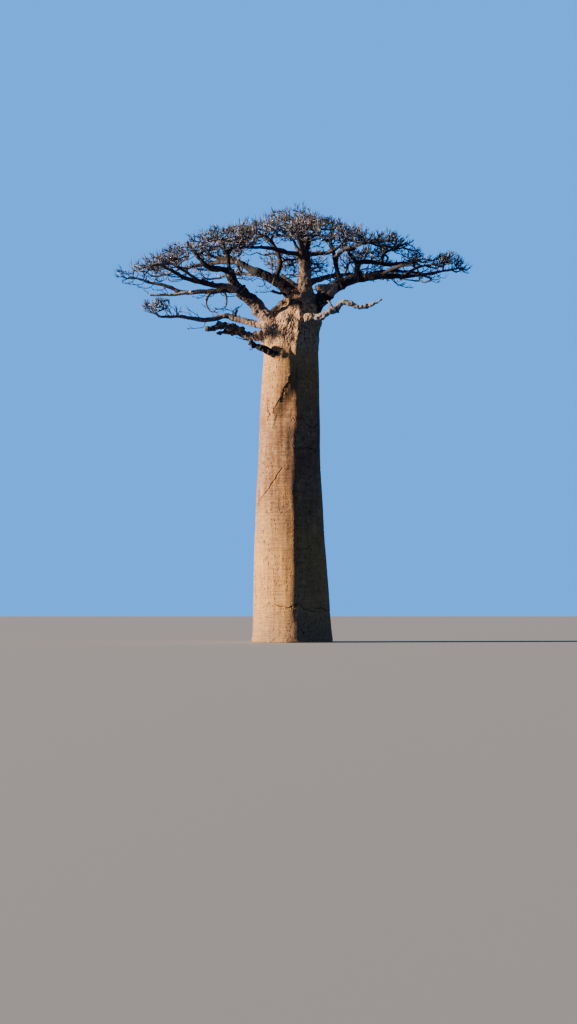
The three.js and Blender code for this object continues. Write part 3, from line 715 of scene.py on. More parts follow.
# Where the boughs' greyer bark begins on the trunk's skin: out along their feet and high behind the column,
# but not at the column's own foot, nor at the four pale limbs low on the head.
LIMB_BARK_OUT = (0.06, 0.4)  # metres outside the stem
LIMB_BARK_UP = (19.3, 19.8)
LIMB_BARK_BEHIND = (0.6, 1.4)
BEHIND_LINE = (2, 0.5)  # its slope and shift in the plan
COLUMN_BARK = 0.6
COLUMN_BARK_FROM = 18.6
COLUMN_REACH = (0.5, 0.75)
PALE_LIMBS = ("lower_left_bough", "dead_left_limb", "dead_right_limb", "low_left_stub")
PALE_REACH = (0.4, 0.75)
column_foot = lines["centre_column"][0][0]


def near_column(places):
    """1 within the column and 0 clear of it, on the level."""
    return fading(np.hypot(places[:, 0] - column_foot[0], places[:, 1] - column_foot[1]), *COLUMN_REACH)


low = np.minimum(height, FORK_HEIGHT)
outside = np.hypot(places[:, 0] - trunk_centre(low), places[:, 1]) - trunk_radius(low)
behind = places[:, 0] - BEHIND_LINE[0] * (places[:, 1] + BEHIND_LINE[1])
high_behind = smoothstep(height, *LIMB_BARK_UP) * smoothstep(behind, *LIMB_BARK_BEHIND)
bough = np.maximum(smoothstep(outside, *LIMB_BARK_OUT), high_behind)
bough *= np.where(height > COLUMN_BARK_FROM, 1 - COLUMN_BARK * near_column(places), 1)
pale_feet = [np.linalg.norm(places - np.array(BOUGHS[name]["foot"]), axis=1) for name in PALE_LIMBS]
bough *= smoothstep(np.min(pale_feet, axis=0), *PALE_REACH)
set_attribute(trunk_skin.data, "crevice_shade", crevice_shade)
set_attribute(trunk_skin.data, "head", head)
set_attribute(trunk_skin.data, "bough", bough)

# The trunk's bark: tan and pink in broad patches, with dark streaks, pits, thin rings and bleached parts.
# It is paler and more broken on the head, and stained near the ground. Painted sunlight brightens it low and
# high, and painted shade darkens its grooves and cracks. Sizes of patterns are in metres, in x, y and z.
TRUNK_TAN = (0.52, 0.245, 0.088, 1)
TRUNK_PINK = (0.34, 0.16, 0.08, 1)
TRUNK_STREAK = (0.17, 0.09, 0.06, 1)
TRUNK_PALE = (0.76, 0.44, 0.205, 1)
# Painted sunlight: a brighter orange, low and high on the trunk.
TRUNK_PAINTED_SUN = (0.95, 0.49, 0.13, 1)
HEAD_PALE = (0.95, 0.66, 0.47, 1)
# Colour of the pits and holes, and of the painted shade in grooves, cracks and hollows.
PIT_AND_SHADE_COLOUR = (0.05, 0.026, 0.02, 1)
FOOT_COLOUR = (0.25, 0.16, 0.11, 1)
BOUGH_GREY = (0.05, 0.042, 0.043, 1)
BOUGH_BROWN = (0.08, 0.056, 0.048, 1)
BOUGH_PALE = (0.44, 0.37, 0.33, 1)
WHITE = (1, 1, 1, 1)
TRUNK_PATCHES = {  # size, detail, and the noise from which and up to which each comes in
    "pink": ((1.6, 1.6, 3.2), 4, 0.4, 0.6),
    "streaks": ((0.2, 0.2, 4.0), 3, 0.48, 0.68),
    "fine streaks": ((0.07, 0.07, 1.6), 3, 0.5, 0.64),
    "finely streaked": ((0.8, 0.8, 3.0), 2, 0.46, 0.6),
    "pale": ((0.3, 0.3, 0.7), 3, 0.54, 0.66),
    "bleached": ((2.0, 2.0, 3.4), 2, 0.46, 0.6),
    "mottled": ((0.09, 0.09, 0.16), 3, 0.5, 0.66),
    "pitted": ((0.9, 0.9, 2.6), 3, 0.4, 0.54),
    "speckled": ((0.7, 0.7, 1.8), 2, 0.44, 0.56),
}
PIT_SIZE = (0.14, 0.14, 0.56)
PIT_RAGGED = (0.1, 0.1, 0.22)
PIT_RAGGEDNESS = 0.8
PIT_EDGES = (0.6, 0.5)  # how far from its middle a spot ends, and how far it is full
SPECK_SIZE = (0.11, 0.11, 0.24)
SPECK_EDGES = (0.33, 0.2)
SPECK_SHARE = 0.8
NICK_SIZE = (0.12, 0.12, 0.3)
NICK_EDGES = (0.4, 0.26)
# Where the painted shade of grooves, wrinkles and cracks comes in.
CREVICE_SHADE_EDGES = (0.25, 0.9)
LINE_SIZE = (2.2, 2.2, 0.15)  # of the fine dark rings, which are only colour and bump
LINE_EDGES = (0.03, 0.006)
LINE_SHARE = 0.42
STAINED_HEIGHTS = (2.6, 0.1)
# Heights of the painted sunlight: below the first pair, and above the second.
PAINTED_SUN_HEIGHTS = ((9.5, 4.5), (11.5, 15.5))
GRAIN_SIZE = (0.05, 0.05, 0.12)
GRAIN_SHARE = 0.6
GRAIN_RISE = 0.2
ROUGH_SIZE = (0.14, 0.14, 0.2)
ROUGH_BELOW_HEAD = 0.35
BARK_SHINE = 0.25
BUMP_STRENGTH = 0.8


def mixed(tree, factor, first, second, way_of_mixing="MIX"):
    """Two colours mixed by a factor, each a colour or a socket."""
    node = tree.nodes.new("ShaderNodeMix")
    node.data_type = "RGBA"
    node.blend_type = way_of_mixing
    for socket, value in ((node.inputs[0], factor), (node.inputs[6], first), (node.inputs[7], second)):
        if isinstance(value, bpy.types.NodeSocket):
            tree.links.new(value, socket)
        else:
            socket.default_value = value
    return node.outputs[2]


def stretched(tree, size):
    """Object coordinates divided by a feature size in x, y and z."""
    coordinates = tree.nodes.new("ShaderNodeTexCoord")
    mapping = add_node(tree, "Mapping", Vector=coordinates.outputs["Object"])
    mapping.inputs["Scale"].default_value = [1 / side for side in size]
    return mapping.outputs["Vector"]


def noise_node(tree, size, detail):
    node = add_node(tree, "TexNoise", Vector=stretched(tree, size), Scale=1.0, Detail=detail, Roughness=0.6)
    return node.outputs["Fac"]


def cells(tree, size):
    """Distance to the middle of the nearest of many scattered spots."""
    node = add_node(tree, "TexVoronoi", Vector=stretched(tree, size), Scale=1.0, Randomness=1.0)
    return node.outputs["Distance"]


def between(tree, value, low, high):
    """0 below low and 1 above high, or the other way round where low is the larger."""
    node = tree.nodes.new("ShaderNodeMapRange")
    node.interpolation_type = "SMOOTHSTEP"
    tree.links.new(value, node.inputs["Value"])
    node.inputs["From Min"].default_value = min(low, high)
    node.inputs["From Max"].default_value = max(low, high)
    node.inputs["To Min"].default_value = 0 if low < high else 1
    node.inputs["To Max"].default_value = 1 if low < high else 0
    return node.outputs["Result"]


def patches(tree, size, detail, low, high):
    """Patches of the given size, 0 where the noise is below low and 1 where it is above high."""
    return between(tree, noise_node(tree, size, detail), low, high)


def sums(tree, kind, first, second):
    node = tree.nodes.new("ShaderNodeMath")
    node.operation = kind
    for socket, value in zip(node.inputs, (first, second)):
        if isinstance(value, bpy.types.NodeSocket):
            tree.links.new(value, socket)
        else:
            socket.default_value = value
    return node.outputs[0]


def times(tree, first, second):
    return sums(tree, "MULTIPLY", first, second)


def attribute_node(tree, name):
    node = tree.nodes.new("ShaderNodeAttribute")
    node.attribute_name = name
    return node.outputs["Fac"]


def tinted(tree, tone, tints):
    """A tone with one colour after another over it, each by a factor and a share."""
    for factor, share, colour in tints:
        tone = mixed(tree, times(tree, factor, share), tone, colour)
    return tone


def grained(tree, tone, grain, darkest):
    """A tone darkened by fine grain, down to a share of itself."""
    return mixed(tree, GRAIN_SHARE, tone, mixed(tree, grain, (*[darkest] * 3, 1), WHITE), "MULTIPLY")


def finish_bark(tree, shader, tone, roughness, relief, depth):
    """Gives the shader of a bark its tone, its roughness and its fine relief."""
    tree.links.new(tone, shader.inputs["Base Color"])
    shader.inputs["Roughness"].default_value = roughness
    shader.inputs["Specular IOR Level"].default_value = BARK_SHINE
    bump = add_node(tree, "Bump", Height=relief, Strength=BUMP_STRENGTH, Distance=depth)
    tree.links.new(bump.outputs["Normal"], shader.inputs["Normal"])


def trunk_bark(name):
    material, shader = new_material(name)
    tree = material.node_tree
    head = attribute_node(tree, "head")
    there = {kind: patches(tree, *pattern) for kind, pattern in TRUNK_PATCHES.items()}
    combed = times(tree, there["fine streaks"], there["finely streaked"])
    tone = mixed(tree, there["pink"], TRUNK_TAN, TRUNK_PINK)
    tone = tinted(tree, tone, (
        (there["streaks"], 0.6, TRUNK_STREAK), (combed, 0.6, TRUNK_STREAK),
        (there["pale"], 0.5, TRUNK_PALE), (there["bleached"], 0.3, TRUNK_PALE),
        (head, 0.7, HEAD_PALE), (there["mottled"], 0.5, TRUNK_STREAK),
    ))
    grain = noise_node(tree, GRAIN_SIZE, 5)
    tone = grained(tree, tone, grain, 0.5)
    ragged = times(tree, noise_node(tree, PIT_RAGGED, 3), PIT_RAGGEDNESS)
    pits = between(tree, sums(tree, "ADD", cells(tree, PIT_SIZE), ragged), *PIT_EDGES)
    marks_and_shade = times(tree, pits, there["pitted"])
    specks = between(tree, cells(tree, SPECK_SIZE), *SPECK_EDGES)
    specks = times(tree, specks, times(tree, there["speckled"], SPECK_SHARE))
    nicks = times(tree, between(tree, cells(tree, NICK_SIZE), *NICK_EDGES), head)
    # Painted shade in grooves, furrows, scars, wrinkles and cracks darkens the bark as the pits do.
    for kind in (specks, nicks, between(tree, attribute_node(tree, "crevice_shade"), *CREVICE_SHADE_EDGES)):
        marks_and_shade = sums(tree, "MAXIMUM", marks_and_shade, kind)
    line = sums(tree, "ABSOLUTE", sums(tree, "SUBTRACT", noise_node(tree, LINE_SIZE, 2), 0.5), 0)
    rings = times(tree, between(tree, line, *LINE_EDGES), LINE_SHARE)
    height = add_node(tree, "SeparateXYZ", Vector=stretched(tree, (1, 1, 1))).outputs["Z"]
    # Painted sunlight: brighter orange low and high on the trunk.
    painted_sun = sums(tree, "MAXIMUM", *(between(tree, height, *heights) for heights in PAINTED_SUN_HEIGHTS))
    stained = between(tree, height, *STAINED_HEIGHTS)
    limb = mixed(tree, there["streaks"], BOUGH_BROWN, BOUGH_GREY)
    limb = mixed(tree, there["pale"], limb, BOUGH_PALE)
    tone = mixed(tree, rings, tone, TRUNK_STREAK)
    tone = tinted(tree, tone, (
        (painted_sun, 0.32, TRUNK_PAINTED_SUN), (stained, 0.55, FOOT_COLOUR),
        (attribute_node(tree, "bough"), 1, limb), (marks_and_shade, 0.85, PIT_AND_SHADE_COLOUR),
    ))
    rough = times(tree, noise_node(tree, ROUGH_SIZE, 4), sums(tree, "ADD", head, ROUGH_BELOW_HEAD))
    relief = sums(tree, "SUBTRACT", sums(tree, "ADD", rough, times(tree, grain, GRAIN_RISE)), marks_and_shade)
    finish_bark(tree, shader, tone, 0.85, sums(tree, "SUBTRACT", relief, rings), 0.05)
    return material


trunk_skin.data.materials.clear()
trunk_skin.data.materials.append(trunk_bark("trunk bark"))
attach(trunk_skin, "root")
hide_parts("trunk")


# Boughs: crooked limbs of rougher, greyer bark with knots, broken stubs and wrinkled feet.
# They leave the head of the trunk, fork by steps, and end in branchlets. Those that carry each other are
# grown into one skin, in three pieces: left, middle with right, and back.
BOUGH_VOXEL = 0.036
BOUGH_SMOOTHING = 3
BOUGH_GROUPS = {
    "left_boughs": (
        "left_bough", "left_arm", "left_riser", "left_low_arm", "left_middle_arm", "left_broken_limb",
        "lower_left_bough", "dead_left_limb", "low_left_stub", "centre_left_bough", "arch_riser",
        "left_back_arm", "left_front_arm",
    ),
    "right_boughs": (
        "centre_column", "column_left_arm", "column_top_arm", "column_right_arm", "right_bough",
        "right_riser", "right_upper_arm", "right_fork_arm", "right_high_arm", "right_top_arm",
        "dead_right_limb", "right_back_arm", "front_arm", "front_top_arm", "front_right_arm",
        "right_front_arm",
    ),
    "back_boughs": ("back_bough", "back_left_arm", "back_right_arm", "back_top_arm"),
}
PRONGS = {  # short broken side limbs: place along the bough, heading, climbs, length, thick, thin
    "left_arm": ((0.3, 150, (70, 50), 0.35, 0.16, 0.09),),
    "left_bough": ((0.55, 130, (60, 20), 0.5, 0.3, 0.14), (0.8, 250, (20, 50), 0.4, 0.24, 0.1)),
    "lower_left_bough": ((0.33, 160, (120, 100), 0.55, 0.2, 0.12),
                         (0.36, 10, (20, 60, 80), 0.9, 0.16, 0.08)),
    "dead_left_limb": ((0.48, 192, (-12, 4, -14), 1.3, 0.36, 0.14), (0.75, 150, (60, 40), 0.3, 0.22, 0.12),
                       (0.58, 200, (30, 60), 0.42, 0.3, 0.12), (0.66, 220, (-50, -20), 0.35, 0.3, 0.12)),
    "low_left_stub": ((0.75, 200, (-30, 10), 0.4, 0.18, 0.1),),
    "centre_left_bough": ((0.13, 200, (-8, 12), 1.2, 0.24, 0.14), (0.5, 150, (70, 30), 0.4, 0.22, 0.12)),
    "centre_column": ((0.86, 172, (35, 60), 0.75, 0.26, 0.12), (0.88, 10, (60, 75), 0.6, 0.26, 0.14),
                      (0.97, 165, (46, 66, 30), 1.7, 0.28, 0.1), (0.97, 18, (58, 78, 40), 1.5, 0.26, 0.1),
                      (0.95, 100, (60, 70, 40), 1.6, 0.22, 0.1)),
    "right_bough": ((0.64, 340, (-80, -60), 0.3, 0.18, 0.1), (0.16, 250, (10, 40), 0.5, 0.4, 0.2),
                    (0.3, 270, (10, -10), 0.45, 0.3, 0.16)),
    "right_upper_arm": ((0.62, 340, (-70, -50), 0.25, 0.12, 0.07),),
    "dead_right_limb": ((0.42, 330, (-80, -60), 0.3, 0.24, 0.14), (0.37, 176, (62, 60), 0.66, 0.2, 0.16),
                        (0.97, 100, (40, 60), 0.2, 0.09, 0.06)),
}
STUB_EVERY = 0.9  # metres between two broken stubs
STUB_CLIMBS = (-20, 80)
STUB_CURL = 15  # degrees that it climbs more steeply at its end
STUB_STANDS_OUT = (0.06, 0.22)
STUB_THICK = 0.6  # of the bough's radius
STUB_THIN = 0.34
KNOT_EVERY = 1.0
KNOTS_FROM = 5  # points of the line from the foot
KNOT_SHIFT = 2  # points along the line, either way
KNOT_ASIDE = 0.5  # of the bough's radius
KNOT_SIZES = (0.5, 0.8)
LUMPS = {  # swollen bases of lost limbs: centre, half sizes, and how much they have of the trunk's pale bark
    "right_bough": (((1.8, -0.52, 20.2), (0.46, 0.34, 0.24), 0.6),
                    ((2.32, -0.56, 20.06), (0.36, 0.32, 0.26), 0.75)),
    "dead_left_limb": (((-3.5, -0.42, 17.96), (0.36, 0.24, 0.24), 0),
                       ((-3.02, -0.42, 17.8), (0.3, 0.24, 0.2), 0),
                       ((-4.05, -0.45, 18.12), (0.24, 0.2, 0.16), 0)),
}
LUMP_FACE = Vector((0, -0.25, 0.12))  # from a lump's centre to the side that shows
LUMP_LOOKS = (0.3, 0.2)  # radius for the relief, and share of dead wood
BARKED_GNARLS = 2
BARE_GNARLS = 3

# Relief and bark of the boughs. Most depths are shares of a bough's radius, up to a limit in metres.
# The bark is dark grey and brown with pale flakes, pale wood where it is dead, and like the trunk's at the
# feet and on the lower part of the column. Painted shade darkens its hollows, its wrinkle troughs and the
# limbs that the crown shades.
BOUGH_LUMPS = (0.3, 7.0)  # each pattern has its size and a shift
LUMP_DEPTH = 0.16
BUMPS = (0.11, 19.0)
BUMP_DEPTHS = (0.1, 0.02)  # share and limit
CREASES = ((0.09, 0.5, 0.14), 23.0)
CREASE_DEPTHS = (0.06, 0.022)
CREASE_WIDTH = 0.14
GNARLS = (0.17, 37.0)
GNARL_DEPTH = 0.045
WRINKLE_DEPTHS = (0.07, 0.022)
BUMP_HOLLOWS = 0.5
# Painted shade darkens the hollows between lumps and the troughs of the wrinkles.
HOLLOW_EDGES = (0.25, 0.65)  # the hollows between lumps darken
WRINKLE_EDGES = (0.55, 0.95)
WRINKLE_PAINTED_SHADE = 0.7
COLUMN_PALE = 0.6
COLUMN_PALE_UP_TO = (20.6, 22.4)
FOOT_PALE = 0.85
# Painted shade on the limbs that lie in the crown's shade.
BOUGH_PAINTED_SHADE = (0.026, 0.023, 0.027, 1)
FOOT_BARK = (0.66, 0.43, 0.27, 1)
DEAD_WOOD = (0.54, 0.46, 0.39, 1)
BROWN_PATCHES = ((0.7, 0.7, 0.7), 3, 0.4, 0.62)
PALE_FLAKES = ((0.22, 0.22, 0.3), 4, 0.54, 0.68)
HOLE_SIZE = (0.2, 0.2, 0.2)
HOLE_EDGES = (0.2, 0.12)
BOUGH_GRAIN = (0.05, 0.05, 0.05)
BOUGH_ROUGH = (0.12, 0.12, 0.12)


def bough_bark(name):
    material, shader = new_material(name)
    tree = material.node_tree
    tone = mixed(tree, patches(tree, *BROWN_PATCHES), BOUGH_GREY, BOUGH_BROWN)
    tone = tinted(tree, tone, (
        (patches(tree, *PALE_FLAKES), 0.62, BOUGH_PALE),
        # painted shade, by each bough's dark share
        (attribute_node(tree, "dark"), 1, BOUGH_PAINTED_SHADE),
        (attribute_node(tree, "trunk"), 1, FOOT_BARK),
        (attribute_node(tree, "dead"), 1, DEAD_WOOD),
    ))
    grain = noise_node(tree, BOUGH_GRAIN, 5)
    tone = grained(tree, tone, grain, 0.45)
    holes = between(tree, cells(tree, HOLE_SIZE), *HOLE_EDGES)
    # Dark holes, and painted shade in the hollows and wrinkle troughs.
    marks_and_shade = sums(tree, "MAXIMUM", holes, attribute_node(tree, "crevice_shade"))
    tone = tinted(tree, tone, ((marks_and_shade, 0.7, PIT_AND_SHADE_COLOUR),))
    relief = sums(tree, "ADD", grain, noise_node(tree, BOUGH_ROUGH, 3))
    finish_bark(tree, shader, tone, 0.88, sums(tree, "SUBTRACT", relief, marks_and_shade), 0.04)
    return material


def by_thickness(share_and_limit, radius):
    share, limit = share_and_limit
    return np.minimum(limit, share * radius)


grey_bark = bough_bark("bough bark")
bough_seed = random.Random(11)
for piece, members in BOUGH_GROUPS.items():
    solids = bmesh.new()
    limbs = []
    tags = []  # place, radius, shares of dead wood, of trunk bark and of painted shade, and gnarls
    for name in members:
        bough = BOUGHS[name]
        line, radii = lines[name]
        limbs.append((line, radii))
        for share, heading, climbs, length, thick, thin in PRONGS.get(name, ()):
            side = legs_line(place_on(line, share), heading, climbs, length)
            limbs.append((side, np.linspace(thick, thin, len(side)) / 2))
        for _ in range(round(len(line) * LINE_SPACING / STUB_EVERY)):
            spot = bough_seed.randint(len(line) // 4, len(line) - 2)
            heading, climb = bough_seed.uniform(0, 360), bough_seed.uniform(*STUB_CLIMBS)
            length = radii[spot] + bough_seed.uniform(*STUB_STANDS_OUT)
            stub = legs_line(line[spot], heading, (climb, climb + STUB_CURL), length)
            limbs.append((stub, np.linspace(radii[spot] * STUB_THICK, radii[spot] * STUB_THIN, len(stub))))
        for i, (point, radius) in enumerate(zip(line, radii)):
            bark = max(0, 1 - i * LINE_SPACING / bough.get("bark_fades", 0.01))
            marks_and_shade = bough.get("dark", 0.2), bough.get("gnarled", 1)
            tags.append((point, radius, bough.get("dead", 0), bark, *marks_and_shade))
        for spot in range(KNOTS_FROM, len(line) - KNOT_SHIFT, round(KNOT_EVERY / LINE_SPACING)):
            knot = spot + bough_seed.randint(-KNOT_SHIFT, KNOT_SHIFT)
            aside = np.array([bough_seed.uniform(-1, 1) for _ in range(3)]) * radii[knot] * KNOT_ASIDE
            size = radii[knot] * bough_seed.uniform(*KNOT_SIZES)
            where = Matrix.Translation(line[knot] + aside)
            bmesh.ops.create_icosphere(solids, subdivisions=2, radius=size, matrix=where)
        for centre, half_sizes, bark in LUMPS.get(name, ()):
            add_ball(solids, centre, half_sizes, 3)
            gnarls = BARKED_GNARLS if bark else BARE_GNARLS
            tags.append((Vector(centre) + LUMP_FACE, *LUMP_LOOKS, bark, 0, gnarls))
    add_limbs(solids, limbs)
    skin = grown_skin(piece, solids, BOUGH_VOXEL, BOUGH_SMOOTHING)
    places, normals = places_and_normals(skin.data)
    tag_tree = tree_of(tags)
    nearest = [tags[tag_tree.find(place)[1]][1:] for place in places]
    # The dark share of each place is its painted shade.
    radius, dead, barked, painted_shade, gnarls = np.array(nearest).T
    lumps = noise_at(places, *BOUGH_LUMPS)
    bumps = noise_at(places, *BUMPS)
    creases = grooves(noise_at(places, *CREASES), CREASE_WIDTH)
    wave, wrinkled = foot_wrinkles(places)
    relief = lumps * LUMP_DEPTH * radius + bumps * by_thickness(BUMP_DEPTHS, radius)
    relief += GNARL_DEPTH * noise_at(places, *GNARLS) * np.clip(gnarls - 1, 0, 2)
    relief -= by_thickness(CREASE_DEPTHS, radius) * creases
    relief += by_thickness(WRINKLE_DEPTHS, radius) * wave * wrinkled
    places += normals * relief[:, None]
    skin.data.vertices.foreach_set("co", places.ravel())
    # Painted shade in the troughs of the wrinkles and in the hollows between lumps.
    folds = WRINKLE_PAINTED_SHADE * wrinkled * smoothstep(-wave, *WRINKLE_EDGES)
    hollow_shade = smoothstep(-lumps - BUMP_HOLLOWS * bumps, *HOLLOW_EDGES)
    like_trunk = COLUMN_PALE * near_column(places) * fading(places[:, 2], *COLUMN_PALE_UP_TO)
    set_attribute(skin.data, "crevice_shade", np.maximum(folds, hollow_shade))
    set_attribute(skin.data, "trunk", np.maximum(like_trunk, FOOT_PALE * barked))
    set_attribute(skin.data, "dead", dead)
    set_attribute(skin.data, "dark", painted_shade)
    skin.data.materials.clear()
    skin.data.materials.append(grey_bark)
    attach(skin, "root")
    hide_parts(*members)


# Branchlets and twigs: each mass of the crown is an open spray of bare wood that grows on from its bough.
# The bough's last stretch sends branchlets to scattered goals, nearest first, each along the cheapest way
# from the wood that is already there. They curve upwards and end in sprays of short blunt twigs.
TWIG_COLOURS = {  # share of the sprays
    "twig grey": ((0.12, 0.11, 0.118, 1), 0.33),
    "twig dark": ((0.028, 0.026, 0.031, 1), 0.32),
    "twig pale grey": ((0.38, 0.36, 0.4, 1), 0.18),
    "twig red brown": ((0.15, 0.085, 0.075, 1), 0.07),
    "twig olive": ((0.12, 0.115, 0.055, 1), 0.1),
}
TWIG_ROUGHNESS = 0.85
UP = np.array([0, 0, 1.0])
LEVEL = np.array([1, 1, 0])
STEEP = 0.8

twig_materials = [plain_material(name, colour, TWIG_ROUGHNESS) for name, (colour, _) in TWIG_COLOURS.items()]
twig_shares = [share for _, share in TWIG_COLOURS.values()]


def tubes(paths, radii, sides):
    """Vertices and faces of closed tubes along paths of equal length, as arrays."""
    count, steps, _ = paths.shape
    ahead = np.gradient(paths, axis=1)
    ahead /= np.linalg.norm(ahead, axis=2, keepdims=True) + 1e-9
    flat = np.where(np.abs(ahead[:, :1, 2:3]) > STEEP, np.array([1.0, 0, 0]), UP)
    across = np.cross(ahead, flat)
    across /= np.linalg.norm(across, axis=2, keepdims=True) + 1e-9
    upright = np.cross(ahead, across)
    turns = np.arange(sides) * math.tau / sides
    ring = across[:, :, None] * np.cos(turns)[:, None] + upright[:, :, None] * np.sin(turns)[:, None]
    vertices = paths[:, :, None] + ring * radii[:, :, None, None]
    first = (np.arange(count) * steps * sides)[:, None, None]
    low = np.arange(steps - 1)[:, None] * sides
    side, after = np.arange(sides), (np.arange(sides) + 1) % sides
    quads = np.stack([low + side, low + after, low + sides + after, low + sides + side], axis=-1)
    quads = first[..., None] + quads
    caps = np.concatenate([
        first[:, :, 0] + np.arange(sides)[::-1],
        first[:, :, 0] + (steps - 1) * sides + np.arange(sides),
    ])
    return vertices.reshape(-1, 3), quads.reshape(-1, 4), caps


class Wood:
    """Tubes of several lengths and side counts, gathered and then made into one mesh."""

    def __init__(self):
        self.batches = {}

    def add(self, path, radii, sides, colour):
        self.batches.setdefault((len(path), sides), []).append((path, radii, colour))

    def piece(self, name):
        vertices, loops, sizes, colours = [], [], [], []
        made = 0
        for (steps, sides), batch in self.batches.items():
            paths, radii, tints = (np.array(column) for column in zip(*batch))
            points, quads, caps = tubes(paths, radii, sides)
            vertices.append(points)
            loops += [quads.ravel() + made, caps.ravel() + made]
            sizes += [np.full(len(quads), 4), np.full(len(caps), sides)]
            colours += [np.repeat(tints, (steps - 1) * sides), tints, tints]
            made += len(points)
        mesh = bpy.data.meshes.new(name)
        sizes = np.concatenate(sizes)
        starts = np.concatenate([[0], np.cumsum(sizes)[:-1]])
        mesh.vertices.add(made)
        mesh.vertices.foreach_set("co", np.concatenate(vertices).ravel())
        mesh.loops.add(int(sizes.sum()))
        mesh.loops.foreach_set("vertex_index", np.concatenate(loops).astype(np.int32))
        mesh.polygons.add(len(sizes))
        mesh.polygons.foreach_set("loop_start", starts.astype(np.int32))
        mesh.polygons.foreach_set("material_index", np.concatenate(colours).astype(np.int32))
        smooth_shaded(mesh)
        mesh.update(calc_edges=True)
        for material in twig_materials:
            mesh.materials.append(material)
        piece = in_scene(name, mesh)
        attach(piece, "root")
        return piece


def unit(vector):
    return vector / (np.linalg.norm(vector) + 1e-9)


def any_way(rng):
    return unit(np.array([rng.gauss(0, 1) for _ in range(3)]))


def any_colour(rng):
    return rng.choices(range(len(twig_shares)), twig_shares)[0]


# Twigs: short and blunt, a few at each tip of a branchlet and one here and there along it, like the points
# of an antler. They lean outwards, the more the further they are from the trunk, and curl up.
TWIG_LENGTH = (0.18, 0.38)
TWIG_RADIUS = 0.0175
TWIG_RADII = (0.75, 1.15)  # from twig to twig, as shares of it
TWIG_MIDDLE = 0.85  # how thick it still is there and at its tip
TWIG_TIP = 0.6
TWIG_SCATTER = 0.6
TWIG_OUTWARD = 0.35
OUTWARD_FROM = 5  # metres from the trunk to the full lean
TWIG_RISE = 0.2
TWIG_BEND = 0.35
TWIG_CURL = 0.5


def add_spray(wood, base, ahead, rng, count, colour):
    """A few twigs that leave one place."""
    outward = unit(base * LEVEL) * min(1, math.hypot(base[0], base[1]) / OUTWARD_FROM)
    for _ in range(count):
        start = unit(ahead + any_way(rng) * TWIG_SCATTER + outward * TWIG_OUTWARD + UP * TWIG_RISE)
        stop = unit(start + any_way(rng) * TWIG_BEND + UP * TWIG_CURL)
        length = rng.uniform(*TWIG_LENGTH)
        middle = base + start * length * 0.5
        radius = TWIG_RADIUS * rng.uniform(*TWIG_RADII)
        path = np.array([base, middle, middle + stop * length * 0.5])
        wood.add(path, np.array([radius, radius * TWIG_MIDDLE, radius * TWIG_TIP]), 3, colour)


# Goals of the branchlets: first long leaders fanned out to the rim of the mass, then the middles of
# clusters, with fewer at its underside and where the sky shows, and last the tips round each middle.
LEADERS = 10
LEADER_SWING = 0.25  # as a share of the angle between two
LEADER_REACH = 0.88
LEADER_REACHES = (0.85, 1)  # shares of it, from leader to leader
LEADER_HEIGHT = 0.35  # as a share of the mass's own thickness there
CLUSTER_SPACING = 0.53
CLUSTER_TRIES = 6
CLUSTER_DEPTH = 0.06
GOALS_IN_CLUSTER = (6, 8)
FAN = (0.2, 0.6)  # metres from a cluster's middle to its tips, which fan outwards and up
FAN_OUTWARD = 0.4
FAN_SCATTER = 0.8
FAN_RISE = 0.3
TIP_STANDS_PROUD = 0.12
SKY_GAPS = (  # clear spaces seen from the front: place across and up at the trunk, and half sizes
    (5.6, 22.21, 0.34, 0.32), (5.53, 21.42, 0.36, 0.24), (3.78, 22.71, 0.4, 0.2), (-0.92, 23.35, 0.45, 0.28),
    (-0.14, 22.65, 0.5, 0.4), (-1.7, 22.76, 0.5, 0.26), (1.99, 23.67, 0.34, 0.22), (-3.37, 21.48, 0.36, 0.2),
    (-4.38, 21.62, 0.6, 0.24), (-5.56, 22.0, 0.3, 0.3), (7.4, 23.0, 0.4, 0.5), (8.2, 22.3, 0.24, 0.3),
    (-0.75, 25.3, 0.55, 0.5), (-0.15, 25.35, 0.4, 0.55), (-5.5, 24.35, 1.15, 0.88),
    (4.75, 23.95, 0.6, 0.48), (2.0, 24.8, 0.45, 0.4), (-3.95, 24.25, 0.7, 0.5), (8.5, 22.35, 0.35, 0.22),
    (10.05, 22.15, 0.45, 0.42),
)
OPEN_SIZE = 1.0  # metres across a gap in the twigs
OPEN_SHARE = -0.07  # a cluster needs noise above this
OPEN_SHIFT = Vector((0, 0, 31))
WHOLE_MASS = 6.0  # cubic metres; a smaller mass has its clusters closer together
SPREAD = {  # clusters stand this many times further apart where the photo shows more sky, or closer
    "left_tip_twigs": 1.35, "left_middle_twigs": 1.4, "left_front_twigs": 1.45, "left_back_twigs": 1.25,
    "right_outer_twigs": 1.7, "right_front_twigs": 1.75, "right_back_twigs": 1.8, "right_high_twigs": 1.3,
    "right_tip_twigs": 1.15, "right_shoulder_twigs": 1.05, "upper_left_twigs": 0.9, "left_top_twigs": 0.96,
    "upper_right_twigs": 0.92, "top_twigs": 0.92, "lower_left_twigs": 0.76, "back_twigs": 0.85,
    "back_right_twigs": 0.88, "back_left_twigs": 0.92, "inner_left_twigs": 0.86,
}
ROOF_CROWDING = 0.44  # below 1, there are more clusters near the top of a mass
TUFTS = {"right_high_twigs": (5.85, -0.2, 23.1), "right_tip_twigs": (8.85, -1.1, 21.7)}  # small dense heads
TUFT_GOALS = 26
TUFT_SIZES = (0.1, 0.34)


def in_sky_gap(place):
    """Whether a place shows from the front inside one of the clear spaces."""
    eye = np.array(CAMERA_PLACE)
    seen = eye + (np.array(place) - eye) * -eye[1] / (place[1] - eye[1])
    return any(
        ((seen[0] - x) / across) ** 2 + ((seen[2] - z) / up) ** 2 < 1 for x, z, across, up in SKY_GAPS
    )


